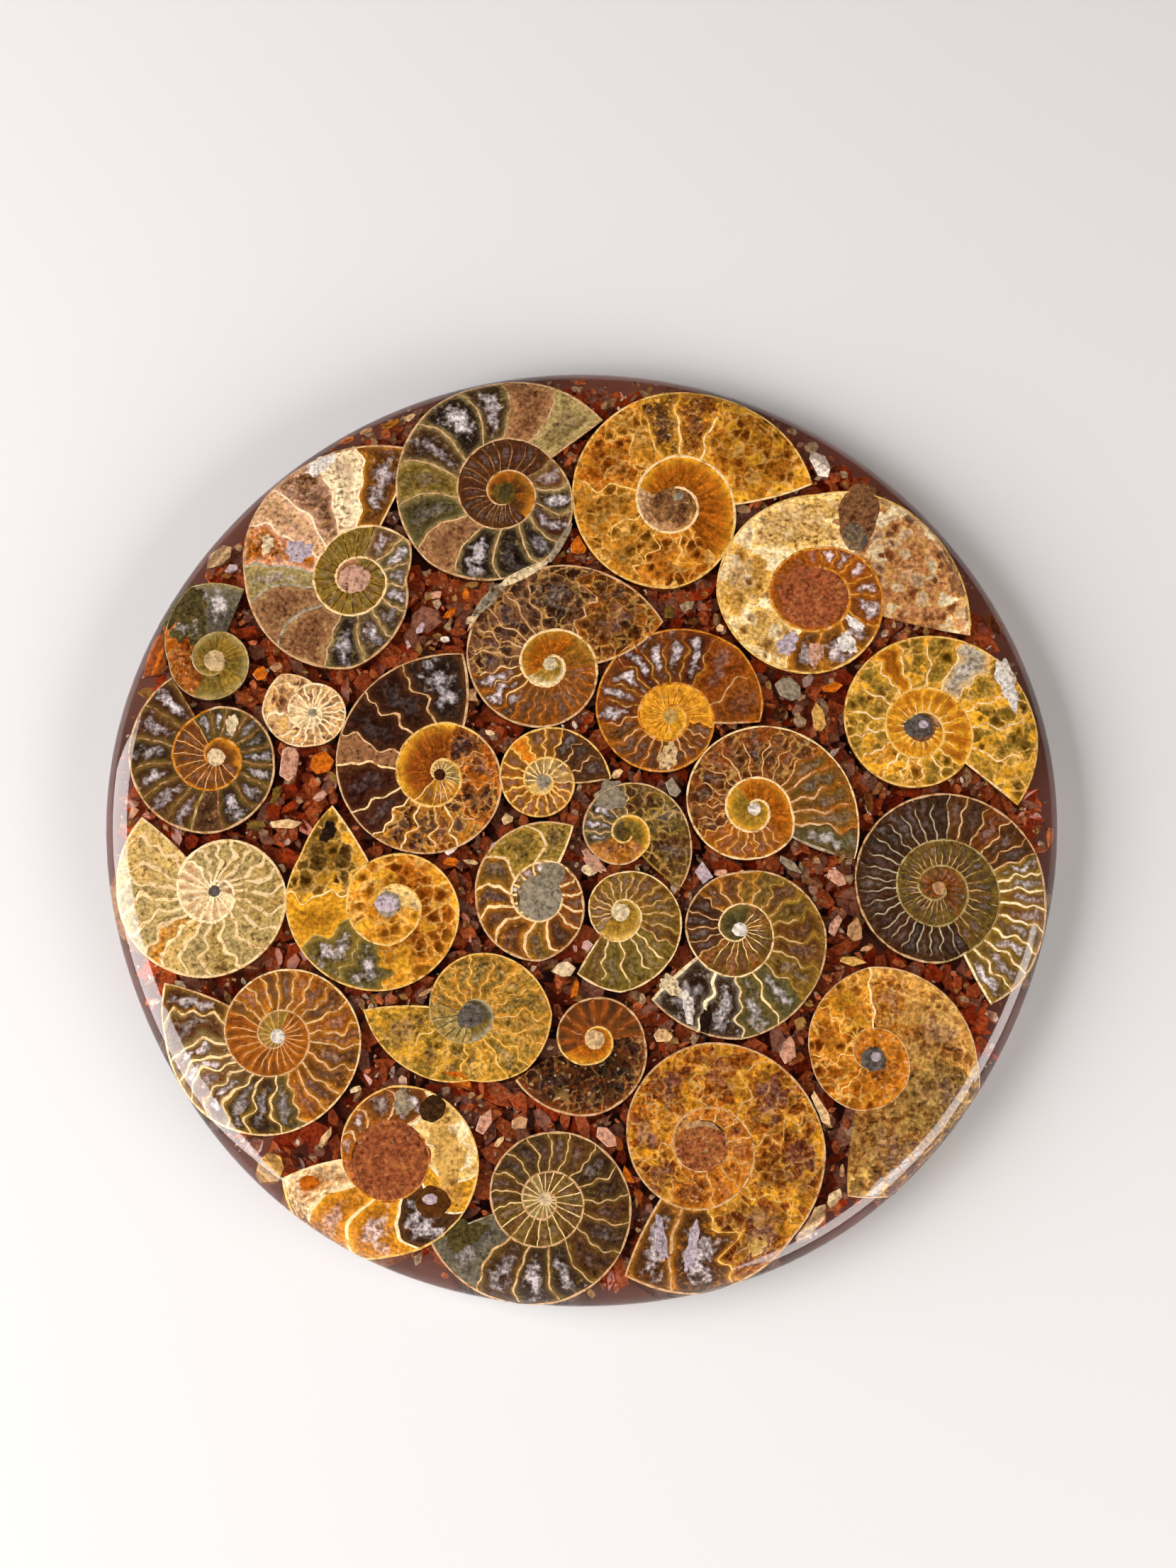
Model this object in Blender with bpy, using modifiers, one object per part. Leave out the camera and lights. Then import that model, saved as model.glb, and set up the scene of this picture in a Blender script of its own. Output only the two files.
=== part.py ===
"""Ammonite plate: sliced ammonites and shell shards set flush in a round slab of brown resin.

The slab is ground flat below and polished above, with a rounded upper rim. Every ammonite is one
slice of a coiled shell whose outline is a logarithmic spiral, stepped once where the mouth of the
shell is. The shards are the broken bits of shell that fill the gaps. Each slice and each shard sits
in its own blind pocket in the resin, with its polished face level with the slab.

Units are metres and degrees, +Z is up, and the origin is the middle of the underside.
"""

import math
import random
from collections import namedtuple

import bmesh
import bpy
from mathutils import Vector

MM = 0.001

# The slab.
PLATE_RADIUS = 75.0 * MM
PLATE_THICKNESS = 9.0 * MM
RIM_ROUND_WIDTH = 5.5 * MM
RIM_ROUND_DROP = 4.0 * MM
RIM_ROUND_STEPS = 4
FOOT_CHAMFER = 0.8 * MM
SLAB_FACETS = 84
# Hand grinding leaves the disc a little out of round: (waves round the rim, share of radius, degrees).
RIM_WAVES = ((3, 0.0029, 90.0), (5, 0.0028, 90.0), (6, 0.0022, 0.0))

# What is set in it.
INLAY_DEPTH = 5.5 * MM
SHARD_DEPTH = 3.0 * MM
FIT_GAP = 0.3 * MM
FACET_LENGTH = 2.9 * MM
FEWEST_FACETS = 18
ABOVE = 1.0 * MM
WELD = 0.00001

# A coil: its middle in millimetres, and its edge as (bearing, distance from the middle), from the outer
# corner of the shell's mouth, round against the clock, to the inner corner. Distances between two of
# these follow a logarithmic spiral, as the shell grew.
Coil = namedtuple("Coil", "name colour x y edge")

COILS = (
    Coil("ammonite_01", "smoky", -12.5, 53.0,
         ((38, 20.2), (90, 19.5), (128, 19.0), (180, 17.5), (225, 16.8), (270, 14.5), (360, 11.0), (398, 9.6))),
    Coil("ammonite_02", "amber", 15.0, 51.0,
         ((9, 22.6), (90, 19.5), (180, 16.5), (270, 14.0), (315, 11.4), (360, 9.6))),
    Coil("ammonite_03", "honey", 38.0, 36.0,
         ((-16, 24.8), (45, 20.5), (90, 16.8), (180, 16.5), (270, 13.0), (340, 10.5))),
    Coil("ammonite_04", "honey", -36.5, 38.5,
         ((65, 24.0), (90, 22.5), (135, 20.5), (180, 17.5), (225, 16.3), (270, 14.8), (315, 10.8),
          (360, 8.4), (395, 11.0), (425, 9.8))),
    Coil("ammonite_05", "olive", -58.3, 25.0, ((70, 12.6), (110, 13.2), (150, 9.4), (180, 7.3), (270, 6.4), (360, 5.5), (430, 5.0))),
    Coil("ammonite_06", "smoky", -57.5, 9.3,
         ((120, 15.0), (180, 13.8), (270, 12.2), (360, 9.2), (450, 8.3), (478, 7.4))),
    Coil("ammonite_07", "cream", -42.5, 16.5, ((130, 8.2), (180, 8.0), (270, 5.4), (360, 5.3), (450, 4.8))),
    Coil("ammonite_08", "cream", -57.0, -12.0,
         ((135, 16.6), (180, 15.5), (270, 13.5), (360, 11.2), (450, 8.0), (490, 6.8))),
    Coil("ammonite_09", "smoky", -22.3, 6.5,
         ((80, 20.0), (120, 18.6), (180, 16.2), (270, 12.5), (360, 9.7), (424, 8.6))),
    Coil("ammonite_10", "amber", -5.0, 24.5,
         ((21, 19.3), (60, 17.4), (90, 16.3), (180, 13.2), (270, 10.3), (360, 7.4))),
    Coil("ammonite_11", "amber", 14.0, 16.0,
         ((-4, 14.2), (8, 14.9), (45, 15.6), (90, 14.2), (180, 11.7), (270, 9.0), (350, 7.0))),
    Coil("ammonite_12", "honey", -6.0, 5.5,
         ((2, 10.7), (90, 8.6), (180, 6.8), (270, 5.8), (355, 4.9))),
    Coil("ammonite_13", "olive", 7.0, -3.0,
         ((-45, 11.9), (0, 10.0), (90, 8.2), (180, 6.8), (270, 4.8), (305, 4.0))),
    Coil("ammonite_14", "amber", 27.0, 1.0,
         ((-27, 17.5), (0, 16.2), (90, 13.3), (180, 10.5), (270, 8.0), (322, 7.4))),
    Coil("ammonite_15", "honey", 53.5, 14.0,
         ((-40, 19.3), (0, 18.5), (90, 15.0), (180, 12.0), (270, 9.5), (320, 8.8))),
    Coil("ammonite_16", "smoky", 55.5, -11.5,
         ((-68, 19.6), (-50, 19.2), (0, 16.7), (90, 15.0), (180, 13.0), (270, 11.8), (288, 11.0))),
    Coil("ammonite_17", "honey", -30.0, -14.0,
         ((120, 18.0), (150, 15.8), (180, 16.0), (270, 13.5), (360, 11.0), (450, 7.8), (475, 7.2))),
    Coil("ammonite_18", "honey", -6.5, -13.0,
         ((65, 12.5), (90, 12.0), (180, 10.0), (270, 10.0), (360, 6.8), (420, 6.2))),
    Coil("ammonite_19", "olive", 6.0, -15.3,
         ((235, 11.7), (270, 12.5), (360, 9.4), (450, 6.3), (540, 4.9), (590, 4.7))),
    Coil("ammonite_20", "olive", 24.5, -18.0,
         ((218, 17.5), (270, 17.0), (315, 14.7), (360, 13.3), (450, 9.0), (540, 8.5), (572, 8.0))),
    Coil("ammonite_21", "amber", 44.5, -38.0,
         ((258, 21.0), (315, 20.0), (360, 16.0), (450, 14.2), (540, 9.5), (610, 8.2))),
    Coil("ammonite_22", "amber", 18.5, -51.0,
         ((238, 22.7), (270, 22.0), (315, 19.0), (360, 18.5), (450, 15.5), (540, 11.5), (590, 10.2))),
    Coil("ammonite_23", "smoky", 2.0, -35.0,
         ((207, 13.6), (270, 11.5), (360, 7.8), (450, 6.5), (540, 5.8), (560, 5.4))),
    Coil("ammonite_24", "olive", -17.0, -31.0,
         ((178, 16.5), (225, 12.5), (270, 10.2), (315, 12.2), (360, 12.5), (450, 9.2), (530, 6.4))),
    Coil("ammonite_25", "amber", -46.5, -34.5,
         ((155, 19.5), (180, 17.5), (270, 15.0), (315, 13.5), (360, 12.8), (450, 10.3), (508, 8.8))),
    Coil("ammonite_26", "honey", -29.0, -53.0,
         ((190, 16.5), (225, 17.5), (270, 14.5), (360, 13.5), (450, 11.0), (540, 7.2))),
    Coil("ammonite_27", "amber", -5.5, -59.0,
         ((200, 18.4), (270, 15.5), (360, 13.0), (450, 10.0), (540, 8.3), (555, 8.0))),
)

# A shard: its middle, its length and width, the bearing of its length, and how many corners it has.
Shard = namedtuple("Shard", "name x y length width bearing corners colour", defaults=("bone",))

SHARDS = (
    Shard("shard_01", -45.9, 8.2, 6.6, 3.2, 88, 6, "rose"),
    Shard("shard_02", -46.3, -1.4, 5.4, 2.0, 3, 5),
    Shard("shard_03", -50.9, 22.9, 2.8, 2.4, 70, 6),
    Shard("shard_04", -0.4, 44.2, 3.4, 3.0, 60, 7, "rust"),
    Shard("shard_05", -2.6, -24.2, 4.0, 2.6, 8, 6),
    Shard("shard_06", 19.0, -9.2, 3.8, 3.0, 90, 4, "rose"),
    Shard("shard_07", 41.8, -22.9, 4.6, 1.6, -8, 5),
    Shard("shard_08", 39.6, -9.8, 3.8, 2.5, -40, 6, "rust"),
    Shard("shard_09", 39.2, -17.4, 4.4, 1.9, 72, 5, "rose"),
    Shard("shard_10", 42.2, -18.2, 4.0, 2.7, 80, 6),
    Shard("shard_11", 36.4, -45.6, 6.4, 1.7, -62, 5),
    Shard("shard_12", 38.2, -58.9, 3.4, 2.0, 55, 5),
    Shard("shard_13", -14.8, -47.6, 4.6, 2.0, 62, 5, "rose"),
    Shard("shard_14", 34.6, -62.4, 8.4, 2.4, 48, 6),
    Shard("shard_15", -9.3, -47.5, 3.0, 2.3, 20, 5),
    Shard("shard_16", 3.7, -49.6, 4.4, 2.6, -48, 6, "rust"),
    Shard("shard_17", 32.4, -7.7, 4.8, 1.5, -36, 5),
    Shard("shard_18", -47.2, -54.4, 5.4, 4.4, 40, 7),
    Shard("shard_19", 38.6, 57.9, 5.4, 3.0, 118, 6),
    Shard("shard_20", 32.9, 20.4, 4.8, 3.6, -30, 7, "rose"),
    Shard("shard_21", 37.4, 15.6, 5.0, 2.4, 100, 6),
    Shard("shard_22", 39.6, 20.7, 4.2, 1.8, 8, 5, "rust"),
    Shard("shard_23", 14.4, 4.4, 3.6, 2.2, -68, 5, "rose"),
    Shard("shard_24", 1.3, -8.6, 2.6, 2.2, 0, 8),
    Shard("shard_25", -11.6, -0.6, 2.2, 1.9, 30, 5),
    Shard("shard_26", -41.0, 8.4, 4.2, 4.0, 75, 6, "rust"),
    Shard("shard_27", -67.0, 26.2, 9.0, 4.4, 70, 7, "rust"),
    Shard("shard_28", 12.4, -34.4, 3.0, 2.2, 0, 6),
    Shard("shard_29", 31.6, -36.6, 4.2, 2.6, 82, 6, "rose"),
    Shard("shard_30", -58.2, 42.6, 5.4, 3.0, 40, 6),
    Shard("shard_31", 65.9, 31.2, 4.4, 2.6, -58, 5, "rust"),
    Shard("shard_32", 63.1, -31.4, 2.6, 1.7, -30, 5),
)

COLOURS = {
    "resin": (0.10, 0.020, 0.008),
    "amber": (0.36, 0.14, 0.025),
    "honey": (0.60, 0.36, 0.09),
    "smoky": (0.13, 0.085, 0.05),
    "olive": (0.30, 0.20, 0.05),
    "cream": (0.72, 0.55, 0.28),
    "bone": (0.78, 0.62, 0.42),
    "rose": (0.52, 0.34, 0.27),
    "rust": (0.62, 0.24, 0.07),
}
ROUGHNESS = 0.12


def clear_scene():
    """Leaves the scene with no objects in it."""
    for obj in list(bpy.data.objects):
        bpy.data.objects.remove(obj)


def new_collection(name, hidden=False):
    """Adds a collection, left out of renders if it only holds tools."""
    collection = bpy.data.collections.new(name)
    collection.hide_render = hidden
    bpy.context.scene.collection.children.link(collection)
    return collection


def polished(colour):
    """The glossy finish of one kind of stone or resin, made once for each colour."""
    found = bpy.data.materials.get(colour)
    if found:
        return found
    material = bpy.data.materials.new(colour)
    material.use_nodes = True
    shader = material.node_tree.nodes["Principled BSDF"]
    shader.inputs["Base Color"].default_value = (*COLOURS[colour], 1.0)
    shader.inputs["Roughness"].default_value = ROUGHNESS
    shader.inputs["Metallic"].default_value = 0.0
    return material


def rim_radius(bearing):
    """How far the ground rim is from the middle, at a bearing in degrees."""
    waves = sum(share * math.cos(math.radians(n * bearing - shift)) for n, share, shift in RIM_WAVES)
    return PLATE_RADIUS * (1.0 + waves)


def slab_profile():
    """Half the slab's section, from the middle of its top down its side to the middle of its base."""
    flat = PLATE_RADIUS - RIM_ROUND_WIDTH
    shoulder = PLATE_THICKNESS - RIM_ROUND_DROP
    turns = [math.radians(90.0 * step / RIM_ROUND_STEPS) for step in range(RIM_ROUND_STEPS + 1)]
    rounding = [(flat + RIM_ROUND_WIDTH * math.sin(t), shoulder + RIM_ROUND_DROP * math.cos(t)) for t in turns]
    foot = [(PLATE_RADIUS, FOOT_CHAMFER), (PLATE_RADIUS - FOOT_CHAMFER, 0.0)]
    return [(0.0, PLATE_THICKNESS), *rounding, *foot, (0.0, 0.0)]


def turned_slab(name, collection):
    """The slab's profile turned about Z, then eased in and out to the hand-ground rim."""
    mesh = bpy.data.meshes.new(name)
    profile = slab_profile()
    mesh.from_pydata([(r, 0.0, z) for r, z in profile], [(i, i + 1) for i in range(len(profile) - 1)], [])
    lathe = bpy.data.objects.new(name + "_lathe", mesh)
    collection.objects.link(lathe)
    screw = lathe.modifiers.new("turn", "SCREW")
    screw.steps = SLAB_FACETS
    screw.render_steps = SLAB_FACETS
    screw.use_merge_vertices = True
    screw.merge_threshold = WELD
    slab = as_mesh(lathe, name, collection)
    for vertex in slab.data.vertices:
        bearing = math.degrees(math.atan2(vertex.co.y, vertex.co.x))
        vertex.co.xy *= rim_radius(bearing) / PLATE_RADIUS
    return slab


def as_mesh(source, name, collection):
    """Replaces a curve or a modified object with the welded mesh that it evaluates to."""
    graph = bpy.context.evaluated_depsgraph_get()
    mesh = bpy.data.meshes.new_from_object(source.evaluated_get(graph))
    made = bpy.data.objects.new(name, mesh)
    made.matrix_world = source.matrix_world
    collection.objects.link(made)
    bpy.data.objects.remove(source)
    shell = bmesh.new()
    shell.from_mesh(mesh)
    bmesh.ops.remove_doubles(shell, verts=shell.verts, dist=WELD)
    bmesh.ops.recalc_face_normals(shell, faces=shell.faces)
    shell.to_mesh(mesh)
    shell.free()
    return made


def prism(name, outline, low, high, collection):
    """A solid with straight walls, from an outline in the plate's plane, between two heights."""
    curve = bpy.data.curves.new(name, "CURVE")
    curve.dimensions = "2D"
    curve.fill_mode = "BOTH"
    curve.extrude = (high - low) / 2.0
    spline = curve.splines.new("POLY")
    spline.points.add(len(outline) - 1)
    for point, (x, y) in zip(spline.points, outline):
        point.co = (x, y, 0.0, 1.0)
    spline.use_cyclic_u = True
    drawn = bpy.data.objects.new(name + "_outline", curve)
    drawn.location.z = (low + high) / 2.0
    collection.objects.link(drawn)
    bpy.context.view_layer.update()
    return as_mesh(drawn, name, collection)


def spiral_reach(coil, bearing):
    """How far the shell's edge is from the coil's middle, between two of the coil's listed bearings."""
    ends = [(low, high) for low, high in zip(coil.edge, coil.edge[1:]) if low[0] <= bearing <= high[0]]
    (start, near), (stop, far) = ends[0]
    return near * (far / near) ** ((bearing - start) / (stop - start))


def coil_outline(coil):
    """The slice's outline: once round the spiral from the mouth, then straight back across the mouth."""
    first, last = coil.edge[0][0], coil.edge[-1][0]
    middling = sum(reach for _, reach in coil.edge) / len(coil.edge)
    facets = max(FEWEST_FACETS, round(math.radians(last - first) * middling * MM / FACET_LENGTH))
    points = []
    for step in range(facets + 1):
        bearing = first + (last - first) * step / facets
        reach = spiral_reach(coil, bearing)
        angle = math.radians(bearing)
        points.append(((coil.x + reach * math.cos(angle)) * MM, (coil.y + reach * math.sin(angle)) * MM))
    return points


def offset(outline, gap):
    """The outline moved outwards by a gap, each corner along the mean of its two edges' directions."""
    moved = []
    for before, here, after in zip(outline[-1:] + outline[:-1], outline, outline[1:] + outline[:1]):
        along_in = Vector(here) - Vector(before)
        along_out = Vector(after) - Vector(here)
        out_in = Vector((along_in.y, -along_in.x)).normalized()
        out_out = Vector((along_out.y, -along_out.x)).normalized()
        middle = (out_in + out_out).normalized()
        stretch = min(1.0 / max(middle.dot(out_out), 0.4), 2.0)
        moved.append(tuple(Vector(here) + middle * gap * stretch))
    return moved


def covers(outline, point):
    """Whether a point of the plate's plane lies inside an outline."""
    inside = False
    x, y = point
    for (ax, ay), (bx, by) in zip(outline, outline[1:] + outline[:1]):
        if (ay > y) != (by > y) and x < ax + (y - ay) * (bx - ax) / (by - ay):
            inside = not inside
    return inside


def overlap(first, second):
    """Whether either of two outlines holds a corner of the other."""
    return any(covers(first, point) for point in second) or any(covers(second, point) for point in first)


def shard_outline(shard):
    """A broken bit's outline: an oval with uneven corners, the same each time for the same name."""
    chance = random.Random(shard.name)
    turn = math.radians(shard.bearing)
    points = []
    for corner in range(shard.corners):
        around = 2.0 * math.pi * (corner + chance.uniform(-0.22, 0.22)) / shard.corners
        reach = chance.uniform(0.86, 1.12) * MM / 2.0
        along = shard.length * reach * math.cos(around)
        across = shard.width * reach * math.sin(around)
        x = shard.x * MM + along * math.cos(turn) - across * math.sin(turn)
        y = shard.y * MM + along * math.sin(turn) + across * math.cos(turn)
        points.append((x, y))
    return points


def cut(body, operation, tool):
    """Adds an exact Boolean to a solid."""
    step = body.modifiers.new(operation.lower() + "_" + tool.name, "BOOLEAN")
    step.operation = operation
    step.solver = "EXACT"
    step.object = tool


def nears_rim(outline):
    """Whether an outline reaches the part of the slab whose top is rounded."""
    flat = PLATE_RADIUS - 1.5 * RIM_ROUND_WIDTH
    return any(math.hypot(x, y) > flat for x, y in outline)


def set_in(inlay, outline, depth, blank, over, collection):
    """Makes one inlay, ground to the slab's top and clear of the pockets that lie over it."""
    at_rim = nears_rim(outline)
    top = PLATE_THICKNESS + (ABOVE if at_rim else 0.0)
    body = prism(inlay.name, outline, PLATE_THICKNESS - depth, top, collection)
    if at_rim:
        cut(body, "INTERSECT", blank)
    for tool in over:
        cut(body, "DIFFERENCE", tool)
    body.data.materials.append(polished(inlay.colour))


def main():
    """Builds the slab, the slices and the shards."""
    clear_scene()
    plate = new_collection("ammonite_plate")
    tools = new_collection("cutters", hidden=True)
    blank = turned_slab("blank", tools)
    slab = turned_slab("resin_slab", plate)
    slab.data.materials.append(polished("resin"))
    pockets = []
    inlays = [(coil, coil_outline(coil), INLAY_DEPTH) for coil in COILS]
    inlays += [(shard, shard_outline(shard), SHARD_DEPTH) for shard in SHARDS]
    for inlay, outline, depth in inlays:
        over = [tool for edge, tool in pockets if overlap(edge, outline)]
        set_in(inlay, outline, depth, blank, over, plate)
        wide = offset(outline, FIT_GAP)
        low = PLATE_THICKNESS - depth - FIT_GAP
        tool = prism(inlay.name + "_pocket", wide, low, PLATE_THICKNESS + 2.0 * ABOVE, tools)
        cut(slab, "DIFFERENCE", tool)
        pockets.append((wide, tool))
    for helper in tools.objects:
        helper.hide_render = True
        helper.display_type = "WIRE"


main()
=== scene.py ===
"""Looks of the ammonite plate: the finish of every slice, shard and sliver, and of the resin round them.

Lengths are in millimetres in the tables and in metres in the meshes. Bearings are in degrees, against
the clock from +X, seen from above. Every shell in the plate widens with the clock.
"""

import logging
import math
import random
from dataclasses import dataclass
from enum import Enum

import bmesh
import bpy
from mathutils import Matrix, Vector


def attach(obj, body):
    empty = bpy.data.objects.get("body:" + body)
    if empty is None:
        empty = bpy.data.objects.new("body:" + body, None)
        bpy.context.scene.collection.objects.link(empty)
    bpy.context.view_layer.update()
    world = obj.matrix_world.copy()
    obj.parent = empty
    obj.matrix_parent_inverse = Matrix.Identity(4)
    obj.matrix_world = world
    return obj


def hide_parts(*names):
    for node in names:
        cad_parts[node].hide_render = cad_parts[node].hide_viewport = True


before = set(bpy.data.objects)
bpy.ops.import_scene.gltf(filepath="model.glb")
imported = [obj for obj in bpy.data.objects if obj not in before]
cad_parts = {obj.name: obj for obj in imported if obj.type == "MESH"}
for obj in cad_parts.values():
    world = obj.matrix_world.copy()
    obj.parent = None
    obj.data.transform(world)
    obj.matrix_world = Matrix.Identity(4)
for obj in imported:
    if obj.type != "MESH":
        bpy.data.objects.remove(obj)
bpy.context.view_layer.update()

LOG = logging.getLogger("ammonite_plate")

# A millimetre in metres, and lengths in millimetres: how far a slice's face commonly stands off the plate,
# the painted wall distance that counts as far away, how much lower a patch's edge is than its middle, and
# how far off the face a patch lies that is ground round.
MM = 0.001
BASE_LIFT = 0.04
FAR_FROM_WALLS = 9.0
PATCH_EDGE_DROP = 0.05
ROUND_PATCH_LIFT = 0.1

# Shares: how much the outward direction counts for a skin on the rim, and how thick a septum is at the
# inside of its whorl (at the outside it is one less).
RIM_LEAN = 0.35
SEPTUM_TAPER = 1.6

# How fast a septum's long and short waves go, in radians over its length, and the waves round a patch.
LONG_WAVE = 9.0
SHORT_WAVE = 19.0
PATCH_WAVES = (2, 3, 7)

# What a paler shade keeps of a colour's red, green and blue, and what light it adds to each.
PALER = ((0.5, 0.28), (0.55, 0.13), (0.6, 0.02))

Colour = tuple[float, float, float]
Socket = bpy.types.NodeSocket
Source = Socket | float | Colour
GridPoint = tuple[bmesh.types.BMVert, int, int]
GridFace = tuple[bmesh.types.BMFace, int]


class Tint(Enum):
    """The colours that shell, crystal and sediment come in, as screen red, green and blue out of 255."""

    WHITE = (238, 232, 220)
    IVORY = (230, 210, 166)
    CREAM = (222, 190, 138)
    TAN = (188, 148, 104)
    STRAW = (212, 170, 90)
    YELLOW = (208, 146, 36)
    HONEY = (186, 118, 30)
    ORANGE = (200, 106, 22)
    FLAME = (214, 92, 34)
    CORAL = (238, 138, 76)
    AMBER = (158, 86, 18)
    RUST = (130, 64, 18)
    UMBER = (92, 54, 22)
    BROWN = (62, 40, 22)
    SOOT = (38, 26, 19)
    MUSTARD = (148, 112, 36)
    OLIVE = (110, 88, 34)
    MOSS = (80, 70, 38)
    KHAKI = (150, 128, 78)
    STONE = (152, 142, 120)
    SLATE = (98, 92, 84)
    LILAC = (190, 176, 184)
    PINK = (202, 156, 130)
    SAND = (128, 86, 54)
    SIENNA = (154, 84, 48)
    MAROON = (62, 30, 18)

    def linear(self) -> Colour:
        """The tint in the renderer's linear light."""
        return tuple(linear_light(part / 255.0) for part in self.value)


def linear_light(part: float) -> float:
    """Turns one screen colour part into linear light.

    Args:
        part: the screen value, from 0 to 1.

    Returns:
        The same light on a linear scale.
    """
    return part / 12.92 if part <= 0.04045 else ((part + 0.055) / 1.055) ** 2.4


class Grain(Enum):
    """How a filling is built up, as shares of painted glints, mottling, cells, fringe and streaks across."""

    SMOOTH = (0.0, 0.35, 0.0, 0.9, 0.5)
    GLASSY = (0.14, 0.6, 0.0, 0.5, 0.5)
    CRYSTAL = (1.0, 0.55, 0.0, 0.6, 0.2)
    MOTTLED = (0.05, 0.9, 0.3, 0.6, 0.0)
    CELLULAR = (0.0, 0.58, 1.0, 0.3, 0.0)
    SANDY = (0.0, 0.64, 0.0, 0.25, 0.0)
    SPECKLED = (0.1, 0.9, 0.6, 0.4, 0.2)


class Slot(Enum):
    """The finishes that a piece can have."""

    RESIN = "resin"
    SMOKY = "smoky"
    AMBER = "amber"
    HONEY = "honey"
    OLIVE = "olive"
    CREAM = "cream"
    BONE = "bone"
    ROSE = "rose"
    RUST = "rust"


@dataclass(frozen=True)
class Band:
    """A stretch of a whorl whose chambers look alike.

    It runs to the bearing until. A full turn of it holds chambers chambers. Their septa are thick
    millimetres thick, wave by a share of a chamber's length, lean forward by sweep and bow by bow at mid
    height. halo is the colour of the filling's fringe along the walls. The septa end at the share to of
    the way out, and along the outer wall the fringe is glow times as wide.
    """

    until: float
    chambers: float
    tints: tuple[Tint, ...]
    grain: Grain = Grain.GLASSY
    septum: Tint = Tint.TAN
    thick: float = 0.25
    wave: float = 0.12
    sweep: float = 0.15
    bow: float = -0.2
    halo: Tint = Tint.TAN
    to: float = 1.0
    glow: float = 1.0


@dataclass(frozen=True)
class Coil:
    """One sliced ammonite.

    The edge is a list of bearings and distances from the middle, from the mouth inwards, between which
    the shell follows a logarithmic spiral. mouth is the bearing where the mouth meets the inner whorl.
    picks names single chambers by a bearing inside them. wall is the shell wall's thickness at the mouth
    and at the middle, and lift is how far its face stands off the plate, in millimetres.
    """

    number: int
    slot: Slot
    x: float
    y: float
    mouth: float
    edge: tuple[tuple[float, float], ...]
    bands: tuple[Band, ...]
    wall: tuple[float, float] = (0.5, 0.3)
    wall_tint: Tint = Tint.CREAM
    outer_tint: Tint = Tint.TAN
    picks: tuple[tuple[float, Tint, Grain], ...] = ()
    core: tuple[Tint, Grain] = (Tint.IVORY, Grain.SMOOTH)
    lift: float = BASE_LIFT

    @property
    def name(self) -> str:
        """The name of the slice's solid."""
        return f"ammonite_{self.number:02d}"


@dataclass(frozen=True)
class Patch:
    """A patch of sediment, crystal or crust in a slice's face: its middle, half sizes, bearing and look.

    lift is how far its middle stands off the plate, in millimetres. Some small pale patches are painted
    highlights: light painted into the face as colour.
    """

    x: float
    y: float
    half_length: float
    half_width: float
    bearing: float
    tint: Tint
    grain: Grain = Grain.SANDY
    lift: float = 0.07


@dataclass(frozen=True)
class Chip:
    """A bit of broken shell: its middle, length, width, bearing of its length, and colour."""

    x: float
    y: float
    length: float
    width: float
    bearing: float
    tint: Tint
    grain: Grain = Grain.GLASSY


# The tints and grains under their own names, in the order of their lists, for the rows of the tables.
(WHITE, IVORY, CREAM, TAN, STRAW, YELLOW, HONEY, ORANGE, FLAME, CORAL, AMBER, RUST, UMBER, BROWN, SOOT,
 MUSTARD, OLIVE, MOSS, KHAKI, STONE, SLATE, LILAC, PINK, SAND, SIENNA, MAROON) = Tint
SMOOTH, GLASSY, CRYSTAL, MOTTLED, CELLULAR, SANDY, SPECKLED = Grain

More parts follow.
